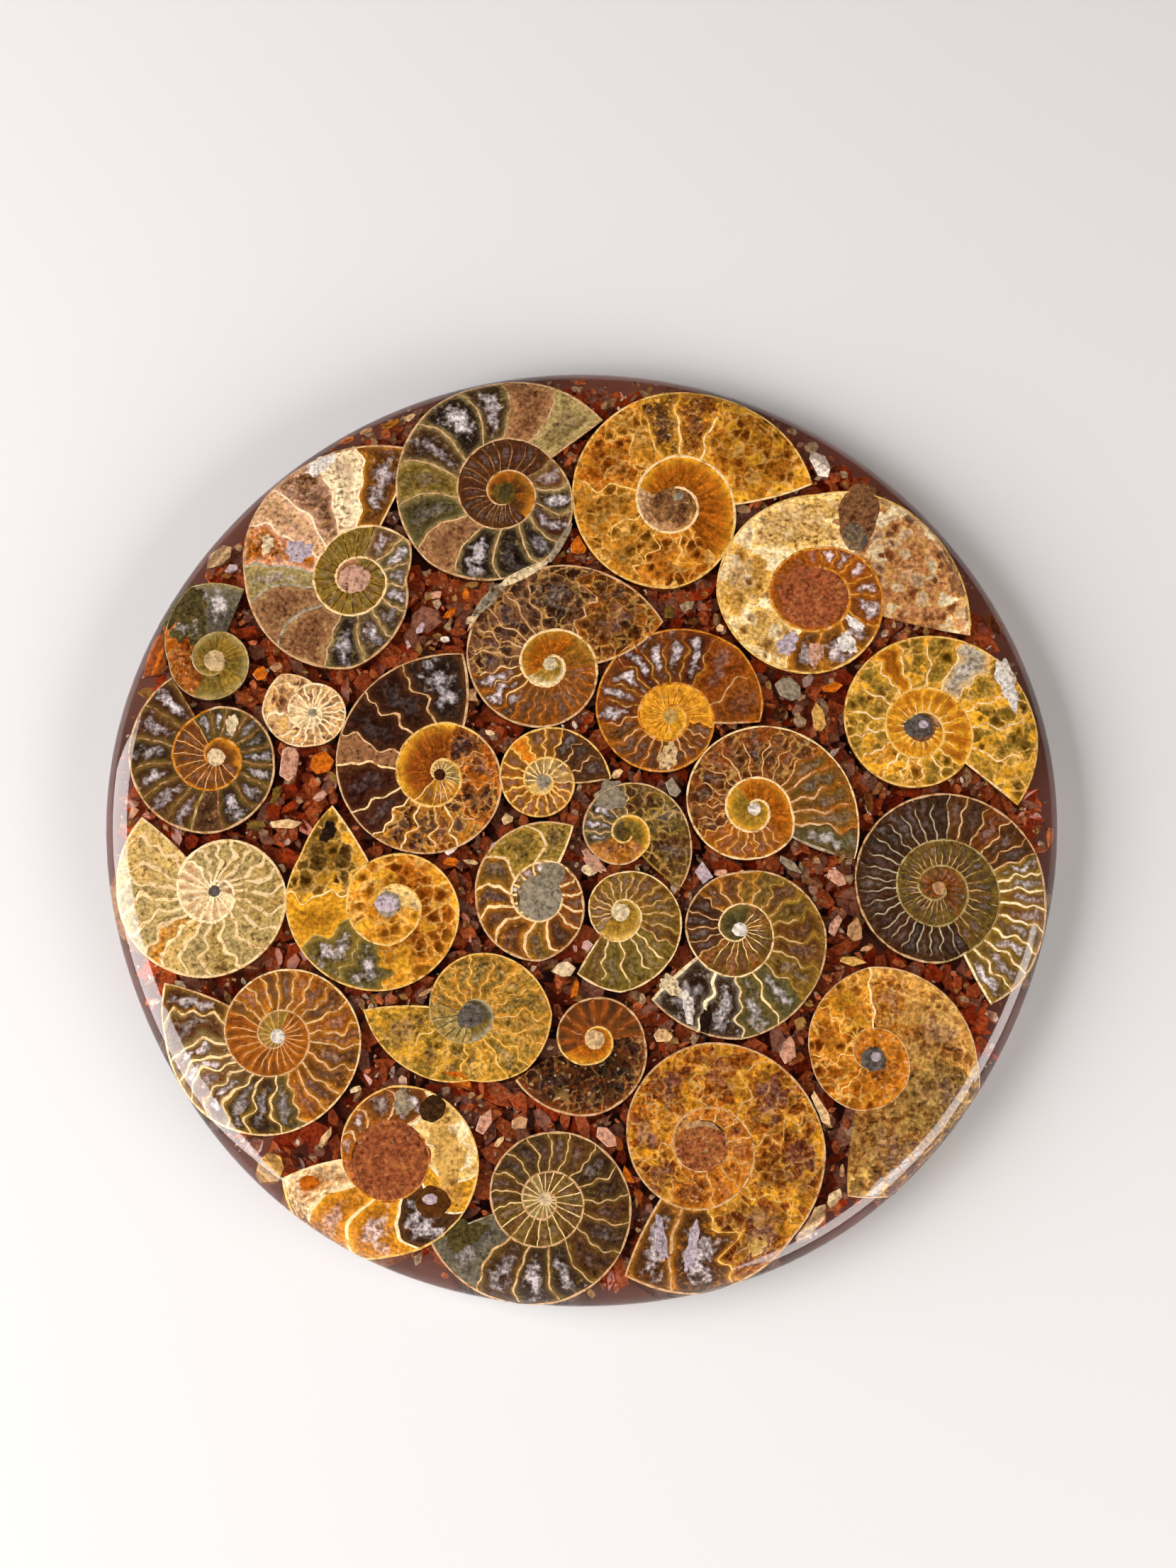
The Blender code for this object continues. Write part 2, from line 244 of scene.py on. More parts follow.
COILS: tuple[Coil, ...] = (
    Coil(1, Slot.SMOKY, -12.5, 53, 398,
         ((38, 20.2), (90, 19.5), (128, 19), (180, 17.5), (225, 16.8), (270, 14.5), (360, 11), (398, 9.6),
          (450, 9.3), (540, 7.5), (630, 6), (720, 5), (810, 3.8), (1000, 1.9)),
         (Band(398, 14, (BROWN, SOOT, UMBER), CRYSTAL, TAN, 0.25, 0.04, 0.1, -0.25, KHAKI, 1, 1.2),
          Band(660, 24, (MAROON, BROWN), GLASSY, SAND, 0.16, 0.05, 0.3, -0.3, UMBER, 0.8, 1.6),
          Band(1000, 14, (UMBER, AMBER), SMOOTH, HONEY, 0, 0, 0.1, 0, HONEY)),
         (0.35, 0.3), TAN, TAN,
         ((49, AMBER, CRYSTAL), (66, KHAKI, GLASSY), (82, SAND, SANDY), (104, BROWN, CRYSTAL),
          (130, SOOT, CRYSTAL), (153, BROWN, CRYSTAL), (176, OLIVE, GLASSY), (190, MOSS, GLASSY),
          (216, SAND, SANDY), (246, SOOT, CRYSTAL), (270, SOOT, GLASSY), (305, SOOT, CRYSTAL),
          (332, MAROON, CRYSTAL), (386, UMBER, CRYSTAL)),
         (OLIVE, SMOOTH), 0.11),
    Coil(2, Slot.AMBER, 15, 51, 360,
         ((9, 22.6), (90, 19.5), (180, 16.5), (270, 14), (315, 11.4), (360, 9.6), (450, 8.3), (540, 6),
          (630, 4.6), (810, 2.9)),
         (Band(60, 7, (AMBER, HONEY), CELLULAR, CREAM, 0.25, 0.2, 0.2, 0.1, YELLOW),
          Band(110, 18, (UMBER, AMBER), MOTTLED, CREAM, 0.3, 0.2, 0.2, 0.1, YELLOW, 0.8),
          Band(295, 10, (AMBER, AMBER, MUSTARD), CELLULAR, STRAW, 0.3, 0.3, 0.2, 0.1, HONEY, 0.9),
          Band(515, 12, (AMBER,), SMOOTH, AMBER, 0, 0.05, 0, 0, YELLOW, 1, 1.4),
          Band(640, 12, (SAND, SIENNA), MOTTLED, TAN, 0, 0.05, 0, 0, TAN),
          Band(810, 12, (SAND, UMBER), MOTTLED, TAN, 0, 0, 0, 0, HONEY)),
         (0.3, 0.45), CREAM, STRAW, (), (SAND, MOTTLED)),
    Coil(3, Slot.HONEY, 38, 36, 340,
         ((-16, 24.8), (45, 20.5), (90, 16.8), (180, 16.5), (270, 13), (340, 10.5), (405, 9), (450, 7.6),
          (540, 8), (630, 6), (720, 4.8), (800, 4.4)),
         (Band(72, 5, (TAN, HONEY, ORANGE), CELLULAR, IVORY, 0, 0.2, 0.2, 0.1, IVORY),
          Band(98, 12, (STRAW,), MOTTLED, IVORY, 0.3, 0.05, 0.1, -0.3, IVORY),
          Band(240, 7, (STRAW, YELLOW, STRAW), CELLULAR, IVORY, 0.2, 0.2, 0.2, 0.1, IVORY),
          Band(340, 13, (UMBER, AMBER), CRYSTAL, HONEY, 0.35, 0.05, 0.1, -0.2, HONEY),
          Band(470, 16, (RUST, UMBER), CRYSTAL, HONEY, 0.25, 0.12, 0.1, -0.1, AMBER, 0.9),
          Band(800, 20, (RUST,), GLASSY, AMBER, 0, 0.05, 0.1, 0, AMBER)),
         (0.3, 0.45), HONEY, STRAW, (), (SIENNA, SANDY)),
    Coil(4, Slot.HONEY, -36.5, 38.5, 425,
         ((65, 24), (90, 22.5), (135, 20.5), (180, 17.5), (225, 16.3), (270, 14.8), (315, 10.8), (360, 8.4),
          (395, 11), (425, 9.8), (450, 8.6), (495, 6.8), (540, 6.4), (630, 6), (720, 5.2), (810, 3.6),
          (960, 2.4)),
         (Band(88, 16, (UMBER, BROWN, AMBER), CRYSTAL, CREAM, 0.3, 0.12, 0.1, 0.1, HONEY),
          Band(180, 18, (SAND, TAN, STONE), CRYSTAL, IVORY, 0.3, 0.12, 0.15, -0.2, PINK),
          Band(250, 12, (SAND,), SANDY, STONE, 0.4, 0.05, 0.1, -0.3, KHAKI),
          Band(425, 15, (BROWN, SOOT, UMBER), CRYSTAL, TAN, 0.25, 0.08, 0.1, -0.1, KHAKI),
          Band(790, 20, (OLIVE, UMBER, MOSS), GLASSY, BROWN, 0.16, 0.05, 0.15, 0, MUSTARD),
          Band(960, 8, (SAND,), SANDY, TAN, 0, 0, 0, 0, PINK)),
         (0.35, 0.4), CREAM, TAN,
         ((70, BROWN, CRYSTAL), (84, UMBER, CRYSTAL), (100, IVORY, MOTTLED), (122, SAND, MOTTLED),
          (136, STONE, CRYSTAL), (146, TAN, MOTTLED), (163, AMBER, MOTTLED), (178, KHAKI, CRYSTAL),
          (196, SAND, SANDY), (226, SAND, SANDY), (262, SOOT, CRYSTAL)),
         (PINK, SANDY)),
    Coil(5, Slot.OLIVE, -58.3, 25, 430,
         ((70, 12.6), (110, 13.2), (150, 9.4), (180, 7.3), (270, 6.4), (360, 5.5), (430, 5), (470, 4.4),
          (560, 3.2), (700, 1.7)),
         (Band(150, 9, (MOSS, BROWN, SLATE), CRYSTAL, TAN, 0, 0.2, 0.1, 0, KHAKI),
          Band(250, 8, (RUST, UMBER), MOTTLED, TAN, 0, 0.1, 0.1, 0, AMBER),
          Band(700, 9, (OLIVE, MUSTARD), SMOOTH, TAN, 0, 0, 0, 0, KHAKI)),
         (0.2, 0.2), KHAKI, KHAKI, (), (CREAM, SMOOTH)),
    Coil(6, Slot.SMOKY, -57.5, 9.3, 478,
         ((120, 15), (180, 13.8), (270, 12.2), (360, 9.2), (450, 8.3), (478, 7.4), (540, 6.8), (630, 5.2),
          (720, 3.9), (810, 3), (930, 1.4)),
         (Band(256, 17, (BROWN, SOOT, MAROON), CRYSTAL, SAND, 0.25, 0.04, 0.1, -0.1, OLIVE),
          Band(290, 12, (BROWN,), SANDY, KHAKI, 0.4, 0.02, 0.1, -0.1, SAND),
          Band(478, 17, (SOOT, BROWN), CRYSTAL, SAND, 0.25, 0.05, 0.1, -0.1, OLIVE),
          Band(690, 19, (BROWN, UMBER, MAROON), GLASSY, TAN, 0.14, 0.06, 0.1, -0.1, AMBER, 1, 1.3),
          Band(930, 9, (UMBER, RUST), SMOOTH, HONEY, 0, 0, 0.1, 0, HONEY, 1, 1.3)),
         (0.35, 0.4), HONEY, TAN, (), (IVORY, SMOOTH)),
    Coil(7, Slot.CREAM, -42.5, 16.5, 450,
         ((130, 8.2), (180, 8), (270, 5.4), (360, 5.3), (450, 4.8), (560, 3.6), (700, 1.6), (820, 0.7)),
         (Band(200, 12, (SAND, TAN), CELLULAR, CREAM, 0.25, 0.12, 0.3, -0.4, TAN),
          Band(480, 20, (SAND, TAN), CELLULAR, IVORY, 0.26, 0.2, 0.2, 0.1, TAN),
          Band(820, 12, (TAN, KHAKI), MOTTLED, IVORY, 0.25, 0.05, 0.1, 0, CREAM)),
         (0.3, 0.3), IVORY, CREAM, (), (STONE, CRYSTAL)),
    Coil(8, Slot.CREAM, -57, -12, 490,
         ((135, 16.6), (180, 15.5), (270, 13.5), (360, 11.2), (450, 8), (490, 6.8), (540, 5.6), (630, 4.9),
          (760, 2.4), (860, 0.9)),
         (Band(250, 24, (KHAKI, STRAW), MOTTLED, CREAM, 0.56, 0.36, 0.3, -0.5, KHAKI),
          Band(490, 20, (KHAKI, MUSTARD), MOTTLED, CREAM, 0.54, 0.34, 0.3, -0.5, KHAKI),
          Band(700, 19, (SAND, TAN), SMOOTH, IVORY, 0.28, 0.04, 0.1, -0.1, CREAM),
          Band(860, 10, (SAND, STONE), SMOOTH, IVORY, 0.25, 0, 0, 0, CREAM)),
         (0.4, 0.5), IVORY, CREAM, ((228, HONEY, MOTTLED),),
         (SLATE, SMOOTH)),
    Coil(9, Slot.SMOKY, -22.3, 6.5, 424,
         ((80, 20), (120, 18.6), (180, 16.2), (270, 12.5), (360, 9.7), (424, 8.6), (450, 8.3), (540, 6.7),
          (630, 5), (720, 3.2), (810, 2.4), (930, 0.9)),
         (Band(165, 16, (MAROON, SOOT, BROWN), GLASSY, TAN, 0.3, 0.26, 0.3, 0.1, UMBER),
          Band(178, 14, (SAND,), SANDY, TAN, 0.3, 0.1, 0.1, -0.1, TAN),
          Band(225, 16, (MAROON, SOOT), GLASSY, CREAM, 0.3, 0.2, 0.3, 0.1, UMBER),
          Band(300, 18, (MAROON, RUST), SPECKLED, CREAM, 0.3, 0.3, 0.3, 0.1, HONEY),
          Band(424, 8, (MAROON, RUST), SPECKLED, TAN, 0.2, 0.2, 0.2, 0.1, ORANGE, 0.8, 1.6),
          Band(590, 12, (RUST,), SMOOTH, UMBER, 0, 0.08, 0.15, 0.1, YELLOW, 1, 1.2),
          Band(690, 26, (RUST, UMBER), GLASSY, CREAM, 0.14, 0.06, 0.15, 0.1, YELLOW, 0.8, 1.5),
          Band(930, 16, (MUSTARD, OLIVE), GLASSY, CREAM, 0.12, 0.04, 0.1, 0, KHAKI)),
         (0.25, 0.45), STRAW, TAN, ((172, SAND, SANDY), (98, SOOT, CRYSTAL)), (MAROON, SMOOTH)),
    Coil(10, Slot.AMBER, -5, 24.5, 360,
         ((21, 19.3), (60, 17.4), (90, 16.3), (180, 13.2), (270, 10.3), (360, 7.4), (450, 5.5), (540, 4.7),
          (630, 3.7), (720, 2.2), (830, 1.1)),
         (Band(60, 9, (UMBER, OLIVE), SPECKLED, TAN, 0.25, 0.3, 0.3, 0.1, AMBER, 0.85),
          Band(190, 21, (MAROON, BROWN), SPECKLED, TAN, 0.22, 0.3, 0.3, 0.1, SAND, 0.9),
          Band(230, 22, (BROWN, UMBER), CRYSTAL, CREAM, 0.22, 0.35, 0.3, 0.1, AMBER, 0.7),
          Band(360, 26, (UMBER, RUST), GLASSY, SAND, 0.22, 0.3, 0.3, 0.1, AMBER, 0.55, 2.2),
          Band(560, 9, (AMBER, OLIVE), SMOOTH, AMBER, 0, 0.05, 0.1, 0, MUSTARD, 1, 1.2),
          Band(830, 6, (MUSTARD,), SMOOTH, AMBER, 0, 0, 0, 0, IVORY)),
         (0.3, 0.45), CREAM, TAN, (), (IVORY, SMOOTH)),
    Coil(11, Slot.AMBER, 14, 16, 350,
         ((-4, 14.2), (8, 14.9), (45, 15.6), (90, 14.2), (180, 11.7), (270, 9), (350, 7), (450, 5.2),
          (540, 5), (630, 4), (760, 2.2), (860, 1.2)),
         (Band(40, 12, (RUST, UMBER), GLASSY, TAN, 0.25, 0.2, 0.35, 0.1, AMBER, 0.8, 2),
          Band(190, 19, (MAROON, UMBER), CRYSTAL, MUSTARD, 0.25, 0.25, 0.35, 0.1, RUST, 0.75, 2),
          Band(350, 20, (UMBER, MAROON), GLASSY, TAN, 0.25, 0.24, 0.35, 0.1, AMBER, 0.75, 2),
          Band(640, 20, (HONEY, AMBER), SMOOTH, RUST, 0.14, 0.05, 0.1, 0, YELLOW, 0.7, 2),
          Band(860, 6, (YELLOW,), SMOOTH, AMBER, 0, 0, 0, 0, STRAW)),
         (0.3, 0.45), HONEY, HONEY, (), (STRAW, SMOOTH)),
    Coil(12, Slot.HONEY, -6, 5.5, 355,
         ((2, 10.7), (90, 8.6), (180, 6.8), (270, 5.8), (355, 4.9), (450, 3.7), (540, 3), (660, 1.9),
          (800, 1.1)),
         (Band(70, 17, (BROWN, MAROON), GLASSY, TAN, 0.22, 0.25, 0.2, 0.1, UMBER, 0.85, 1.8),
          Band(355, 18, (UMBER, RUST), GLASSY, STRAW, 0.3, 0.2, 0.2, 0, HONEY),
          Band(560, 16, (UMBER, BROWN), GLASSY, CREAM, 0.22, 0.06, 0.1, 0, STRAW),
          Band(800, 12, (STRAW, STONE), SMOOTH, IVORY, 0, 0, 0, 0, STRAW)),
         (0.3, 0.35), STRAW, STRAW, ((118, ORANGE, SMOOTH),), (STONE, CRYSTAL)),
    Coil(13, Slot.OLIVE, 7, -3, 305,
         ((-45, 11.9), (0, 10), (90, 8.2), (180, 6.8), (270, 4.8), (305, 4), (420, 3.2), (540, 2.2),
          (700, 0.8)),
         (Band(75, 9, (BROWN, UMBER, MOSS), SPECKLED, MUSTARD, 0.18, 0.25, 0.2, 0.1, OLIVE, 0.8, 2.5),
          Band(190, 14, (SOOT, UMBER, BROWN), CRYSTAL, TAN, 0.2, 0.2, 0.2, 0.1, KHAKI),
          Band(320, 9, (RUST, AMBER, SAND), MOTTLED, TAN, 0, 0.1, 0.1, 0, HONEY),
          Band(440, 8, (OLIVE,), SMOOTH, MUSTARD, 0, 0, 0.1, 0, YELLOW),
          Band(700, 8, (BROWN, MOSS), SMOOTH, MUSTARD, 0, 0, 0.1, 0, KHAKI)),
         (0.25, 0.35), STRAW, TAN, (), (OLIVE, SMOOTH)),
    Coil(14, Slot.AMBER, 27, 1, 322,
         ((-27, 17.5), (0, 16.2), (90, 13.3), (180, 10.5), (270, 8), (322, 7.4), (360, 5.8), (450, 5),
          (540, 4.4), (630, 3.6), (760, 1.9), (850, 1)),
         (Band(-8, 26, (MOSS, BROWN), CRYSTAL, STONE, 0.3, 0.3, 0.25, 0.1, UMBER, 0.75, 2.5),
          Band(50, 24, (UMBER, OLIVE), GLASSY, TAN, 0.3, 0.3, 0.25, 0.1, AMBER, 0.65, 3),
          Band(200, 20, (UMBER, MAROON, UMBER), SPECKLED, TAN, 0.2, 0.3, 0.25, 0.1, RUST, 0.8, 2),
          Band(322, 22, (RUST, UMBER), GLASSY, TAN, 0.2, 0.3, 0.25, 0.1, HONEY, 0.8, 2),
          Band(480, 9, (AMBER,), SMOOTH, AMBER, 0, 0.05, 0.1, 0, HONEY),
          Band(850, 7, (MUSTARD,), SMOOTH, AMBER, 0, 0, 0, 0, YELLOW)),
         (0.3, 0.4), CREAM, CREAM, (), (IVORY, SMOOTH)),
    Coil(15, Slot.HONEY, 53.5, 14, 320,
         ((-40, 19.3), (0, 18.5), (90, 15), (180, 12), (270, 9.5), (320, 8.8), (360, 8), (450, 6.5),
          (540, 5.5), (630, 4.8), (750, 3.2), (860, 2.2)),
         (Band(320, 18, (MUSTARD, AMBER, OLIVE), CELLULAR, CREAM, 0.3, 0.2, 0.2, 0, YELLOW, 0.9),
          Band(720, 20, (AMBER, RUST), SMOOTH, CREAM, 0.14, 0.05, 0.1, 0, YELLOW, 0.45, 1.4),
          Band(860, 6, (UMBER, SAND), GLASSY, STRAW, 0, 0, 0, 0, TAN)),
         (0.3, 0.4), STRAW, STRAW,
         ((112, AMBER, SMOOTH), (60, STONE, CRYSTAL)), (SAND, CRYSTAL)),
    Coil(16, Slot.SMOKY, 55.5, -11.5, 288,
         ((-68, 19.6), (-50, 19.2), (0, 16.7), (90, 15), (180, 13), (270, 11.8), (288, 11), (360, 9.3),
          (450, 7.5), (540, 6.5), (630, 6), (720, 4.4), (810, 3.5), (900, 3.2), (1080, 1)),
         (Band(20, 36, (UMBER, MOSS, OLIVE), CRYSTAL, IVORY, 0.32, 0.25, 0.3, 0.1, MUSTARD),
          Band(80, 28, (BROWN, UMBER, RUST), GLASSY, TAN, 0.25, 0.2, 0.3, 0.1, UMBER),
          Band(288, 32, (BROWN, SOOT, MAROON), GLASSY, STONE, 0.22, 0.22, 0.3, 0.1, BROWN, 0.8, 1.6),
          Band(660, 30, (BROWN, UMBER), GLASSY, TAN, 0.14, 0.15, 0.2, 0, OLIVE, 0.5, 3),
          Band(1080, 20, (UMBER, RUST), GLASSY, MUSTARD, 0, 0.06, 0.1, 0, OLIVE)),
         (0.35, 0.35), KHAKI, TAN, (), (TAN, SMOOTH)),
    Coil(17, Slot.HONEY, -30, -14, 475,
         ((120, 18), (150, 15.8), (180, 16), (270, 13.5), (360, 11), (450, 7.8), (475, 7.2), (540, 6.3),
          (630, 6.4), (720, 5), (860, 2)),
         (Band(140, 8, (MUSTARD, OLIVE), SPECKLED, STRAW, 0.2, 0.2, 0.2, 0.1, YELLOW),
          Band(205, 12, (OLIVE, UMBER, MUSTARD), CELLULAR, CREAM, 0.25, 0.2, 0.2, 0.1, YELLOW),
          Band(260, 11, (MOSS, OLIVE), CRYSTAL, KHAKI, 0.2, 0.2, 0.2, 0.1, MUSTARD),
          Band(475, 8, (AMBER, HONEY), CELLULAR, STRAW, 0, 0.2, 0.2, 0.1, YELLOW),
          Band(700, 8, (HONEY,), CELLULAR, STRAW, 0, 0.1, 0.1, 0, YELLOW),
          Band(860, 8, (STRAW,), MOTTLED, STRAW, 0, 0, 0, 0, CREAM)),
         (0.25, 0.4), STRAW, STRAW, ((178, YELLOW, SMOOTH),), (STONE, CRYSTAL)),
    Coil(18, Slot.HONEY, -6.5, -13, 420,
         ((65, 12.5), (90, 12), (180, 10), (270, 10), (360, 6.8), (420, 6.2), (480, 5), (600, 3.8),
          (720, 3.5)),
         (Band(140, 9, (OLIVE, UMBER, MUSTARD), MOTTLED, CREAM, 0.4, 0.05, 0.1, -0.4, MUSTARD),
          Band(300, 12, (UMBER, BROWN, OLIVE), GLASSY, CREAM, 0.45, 0.08, 0.1, -0.4, HONEY),
          Band(420, 16, (UMBER, BROWN), GLASSY, CREAM, 0.35, 0.08, 0.1, -0.2, AMBER),
          Band(720, 15, (UMBER, OLIVE), CRYSTAL, CREAM, 0.3, 0.05, 0.1, 0, MUSTARD)),
         (0.3, 0.4), CREAM, TAN, (), (STONE, CRYSTAL)),
    Coil(19, Slot.OLIVE, 6, -15.3, 590,
         ((235, 11.7), (270, 12.5), (360, 9.4), (450, 6.3), (540, 4.9), (590, 4.7), (630, 4.6), (720, 3.2),
          (860, 1.4)),
         (Band(330, 20, (OLIVE, UMBER), GLASSY, CREAM, 0.26, 0.28, 0.3, 0.1, OLIVE, 0.9),
          Band(590, 19, (UMBER, OLIVE), GLASSY, TAN, 0.22, 0.25, 0.2, 0, MUSTARD, 0.9),
          Band(860, 20, (MUSTARD,), SMOOTH, AMBER, 0, 0.02, 0.1, 0, STRAW)),
         (0.3, 0.25), CREAM, CREAM, (), (IVORY, CRYSTAL)),
    Coil(20, Slot.OLIVE, 24.5, -18, 572,
         ((218, 17.5), (270, 17), (315, 14.7), (360, 13.3), (450, 9), (540, 8.5), (572, 8), (630, 7.3),
          (720, 5), (810, 4), (900, 3.2), (1050, 1.1)),
         (Band(262, 16, (SOOT, BROWN), CRYSTAL, IVORY, 0.45, 0.2, 0.2, 0.1, STONE),
          Band(300, 20, (MOSS, BROWN), CRYSTAL, CREAM, 0.3, 0.25, 0.3, 0.1, OLIVE),
          Band(430, 17, (UMBER, OLIVE), GLASSY, TAN, 0.22, 0.3, 0.3, 0.1, MUSTARD, 0.6, 2.5),
          Band(500, 16, (UMBER, MUSTARD), GLASSY, TAN, 0.25, 0.25, 0.3, 0.1, HONEY, 0.8),
          Band(572, 18, (BROWN, MAROON), GLASSY, TAN, 0.2, 0.2, 0.2, 0.1, UMBER),
          Band(780, 20, (UMBER, AMBER), GLASSY, CREAM, 0.14, 0.12, 0.2, 0, OLIVE, 0.7),
          Band(1050, 14, (MOSS,), SMOOTH, STONE, 0, 0.02, 0.1, 0, OLIVE)),
         (0.3, 0.3), CREAM, TAN, (), (WHITE, CRYSTAL)),
    Coil(21, Slot.AMBER, 44.5, -38, 610,
         ((258, 21), (315, 20), (360, 16), (450, 14.2), (540, 9.5), (610, 8.2), (630, 7.5), (720, 5.5),
          (830, 4.6), (980, 1.4)),
         (Band(340, 7, (MUSTARD, SAND, SIENNA), SPECKLED, STRAW, 0, 0.2, 0.2, 0.1, STRAW),
          Band(430, 7, (HONEY, AMBER, SAND), SPECKLED, STRAW, 0, 0.2, 0.2, 0.1, STRAW),
          Band(475, 10, (AMBER, HONEY), CELLULAR, CREAM, 0.3, 0.1, 0.1, 0, YELLOW),
          Band(640, 7, (AMBER, AMBER, ORANGE), CELLULAR, STRAW, 0.2, 0.2, 0.2, 0.1, HONEY),
          Band(980, 8, (AMBER,), MOTTLED, AMBER, 0, 0.05, 0, 0, HONEY)),
         (0.25, 0.15), TAN, TAN, (), (SLATE, CRYSTAL)),
    Coil(22, Slot.AMBER, 18.5, -51, 590,
         ((238, 22.7), (270, 22), (315, 19), (360, 18.5), (450, 15.5), (540, 11.5), (590, 10.2), (630, 9.5),
          (720, 7.6), (810, 5.6), (900, 4.6), (1000, 3.8)),
         (Band(275, 17, (BROWN, UMBER), CRYSTAL, TAN, 0.3, 0.05, 0.1, -0.1, HONEY),
          Band(345, 9, (RUST, AMBER, RUST), SPECKLED, STRAW, 0.25, 0.25, 0.2, 0.1, YELLOW),
          Band(610, 8, (RUST, AMBER, SAND), SPECKLED, TAN, 0.2, 0.3, 0.3, 0.2, YELLOW),
          Band(830, 12, (RUST, AMBER), MOTTLED, TAN, 0.2, 0.1, 0.1, 0, HONEY),
          Band(1000, 10, (SAND, RUST), MOTTLED, TAN, 0, 0.05, 0, 0, HONEY)),
         (0.3, 0.3), TAN, TAN, (), (TAN, SANDY)),
    Coil(23, Slot.SMOKY, 2, -35, 560,
         ((207, 13.6), (270, 11.5), (360, 7.8), (450, 6.5), (540, 5.8), (560, 5.4), (630, 3.6), (760, 2.4),
          (860, 1.5)),
         (Band(350, 9, (SOOT, BROWN, MAROON), MOTTLED, UMBER, 0, 0.3, 0.2, 0.1, RUST, 1, 0.8),
          Band(560, 16, (BROWN, UMBER), SMOOTH, RUST, 0.1, 0.1, 0.2, 0.1, RUST, 0.8, 0.8),
          Band(860, 8, (AMBER,), SMOOTH, HONEY, 0, 0, 0, 0, YELLOW)),
         (0.35, 0.3), STRAW, TAN, (), (CREAM, SMOOTH)),
    Coil(24, Slot.OLIVE, -17, -31, 530,
         ((178, 16.5), (225, 12.5), (270, 10.2), (315, 12.2), (360, 12.5), (450, 9.2), (530, 6.4), (540, 6.2),
          (630, 4.4), (720, 3.5), (860, 1.6)),
         (Band(250, 13, (OLIVE, MUSTARD), SPECKLED, STRAW, 0.25, 0.3, 0.2, 0.1, YELLOW),
          Band(320, 20, (OLIVE, MUSTARD), SPECKLED, STRAW, 0.22, 0.3, 0.2, 0.1, YELLOW),
          Band(530, 15, (OLIVE, MUSTARD), MOTTLED, STRAW, 0.16, 0.3, 0.2, 0.1, HONEY),
          Band(640, 20, (OLIVE, MUSTARD), MOTTLED, MOSS, 0.2, 0.1, 0.1, 0, KHAKI),
          Band(720, 8, (OLIVE,), SMOOTH, STONE, 0, 0, 0, 0, STONE),
          Band(860, 6, (MOSS,), SMOOTH, STONE, 0, 0, 0, 0, STONE)),
         (0.25, 0.3), KHAKI, STRAW, (), (STONE, SMOOTH)),
    Coil(25, Slot.AMBER, -46.5, -34.5, 508,
         ((155, 19.5), (180, 17.5), (270, 15), (315, 13.5), (360, 12.8), (450, 10.3), (508, 8.8), (540, 8),
          (630, 6), (720, 4.8), (810, 4), (900, 3), (1060, 1.1)),
         (Band(180, 20, (UMBER, BROWN), CRYSTAL, TAN, 0.3, 0.25, 0.2, -0.4, MUSTARD),
          Band(245, 30, (UMBER, BROWN), CRYSTAL, CREAM, 0.34, 0.35, 0.3, -0.6, KHAKI, 1, 1.4),
          Band(290, 24, (BROWN, SOOT, MOSS), CRYSTAL, CREAM, 0.32, 0.35, 0.3, -0.3, MUSTARD),
          Band(508, 22, (UMBER, AMBER), GLASSY, TAN, 0.28, 0.24, 0.3, -0.2, HONEY),
          Band(780, 24, (UMBER, RUST), SMOOTH, TAN, 0.14, 0.08, 0.2, -0.2, AMBER, 0.85),
          Band(1060, 18, (OLIVE, SAND), SMOOTH, TAN, 0.1, 0.02, 0.1, 0, MUSTARD)),
         (0.3, 0.3), TAN, CREAM, (), (WHITE, SMOOTH)),
    Coil(26, Slot.HONEY, -29, -53, 540,
         ((190, 16.5), (225, 17.5), (270, 14.5), (360, 13.5), (450, 11), (540, 7.2), (580, 6.4), (760, 5.8)),
         (Band(222, 11, (TAN, HONEY), MOTTLED, CREAM, 0.4, 0.05, 0.1, -0.35, IVORY),
          Band(300, 11, (HONEY, AMBER), GLASSY, CREAM, 0.45, 0.05, 0.1, -0.35, YELLOW),
          Band(335, 12, (BROWN, MAROON), CRYSTAL, IVORY, 0.5, 0.05, 0.1, -0.35, UMBER),
          Band(360, 10, (YELLOW,), GLASSY, IVORY, 0.4, 0.05, 0.1, -0.35, YELLOW),
          Band(405, 8, (STRAW,), CELLULAR, IVORY, 0.3, 0.05, 0.1, -0.35, IVORY),
          Band(470, 13, (UMBER, BROWN, AMBER), CRYSTAL, TAN, 0.35, 0.05, 0.1, -0.35, RUST),
          Band(540, 12, (UMBER, AMBER), CRYSTAL, TAN, 0.35, 0.05, 0.1, -0.35, AMBER),
          Band(760, 10, (SIENNA,), SANDY, SIENNA, 0, 0, 0, 0, HONEY)),
         (0.35, 0.3), HONEY, STRAW, ((250, HONEY, CRYSTAL), (280, HONEY, CRYSTAL)), (SIENNA, SANDY)),
    Coil(27, Slot.AMBER, -5.5, -59, 555,
         ((200, 18.4), (270, 15.5), (360, 13), (450, 10), (540, 8.3), (555, 8), (630, 7), (720, 5.8),
          (810, 4), (900, 3.4), (990, 3), (1150, 1)),
         (Band(222, 12, (MOSS, SLATE), CRYSTAL, STONE, 0.25, 0.1, 0.1, 0, MOSS),
          Band(300, 18, (BROWN, SOOT, UMBER), CRYSTAL, TAN, 0.3, 0.1, 0.2, -0.2, OLIVE),
          Band(555, 17, (BROWN, UMBER), GLASSY, TAN, 0.2, 0.14, 0.3, -0.2, OLIVE),
          Band(830, 20, (UMBER, OLIVE), GLASSY, CREAM, 0.16, 0.05, 0.2, 0, OLIVE),
          Band(1150, 18, (UMBER, OLIVE), SMOOTH, CREAM, 0.14, 0.02, 0.1, 0, KHAKI)),
         (0.3, 0.35), TAN, TAN, (), (IVORY, SMOOTH)),
)

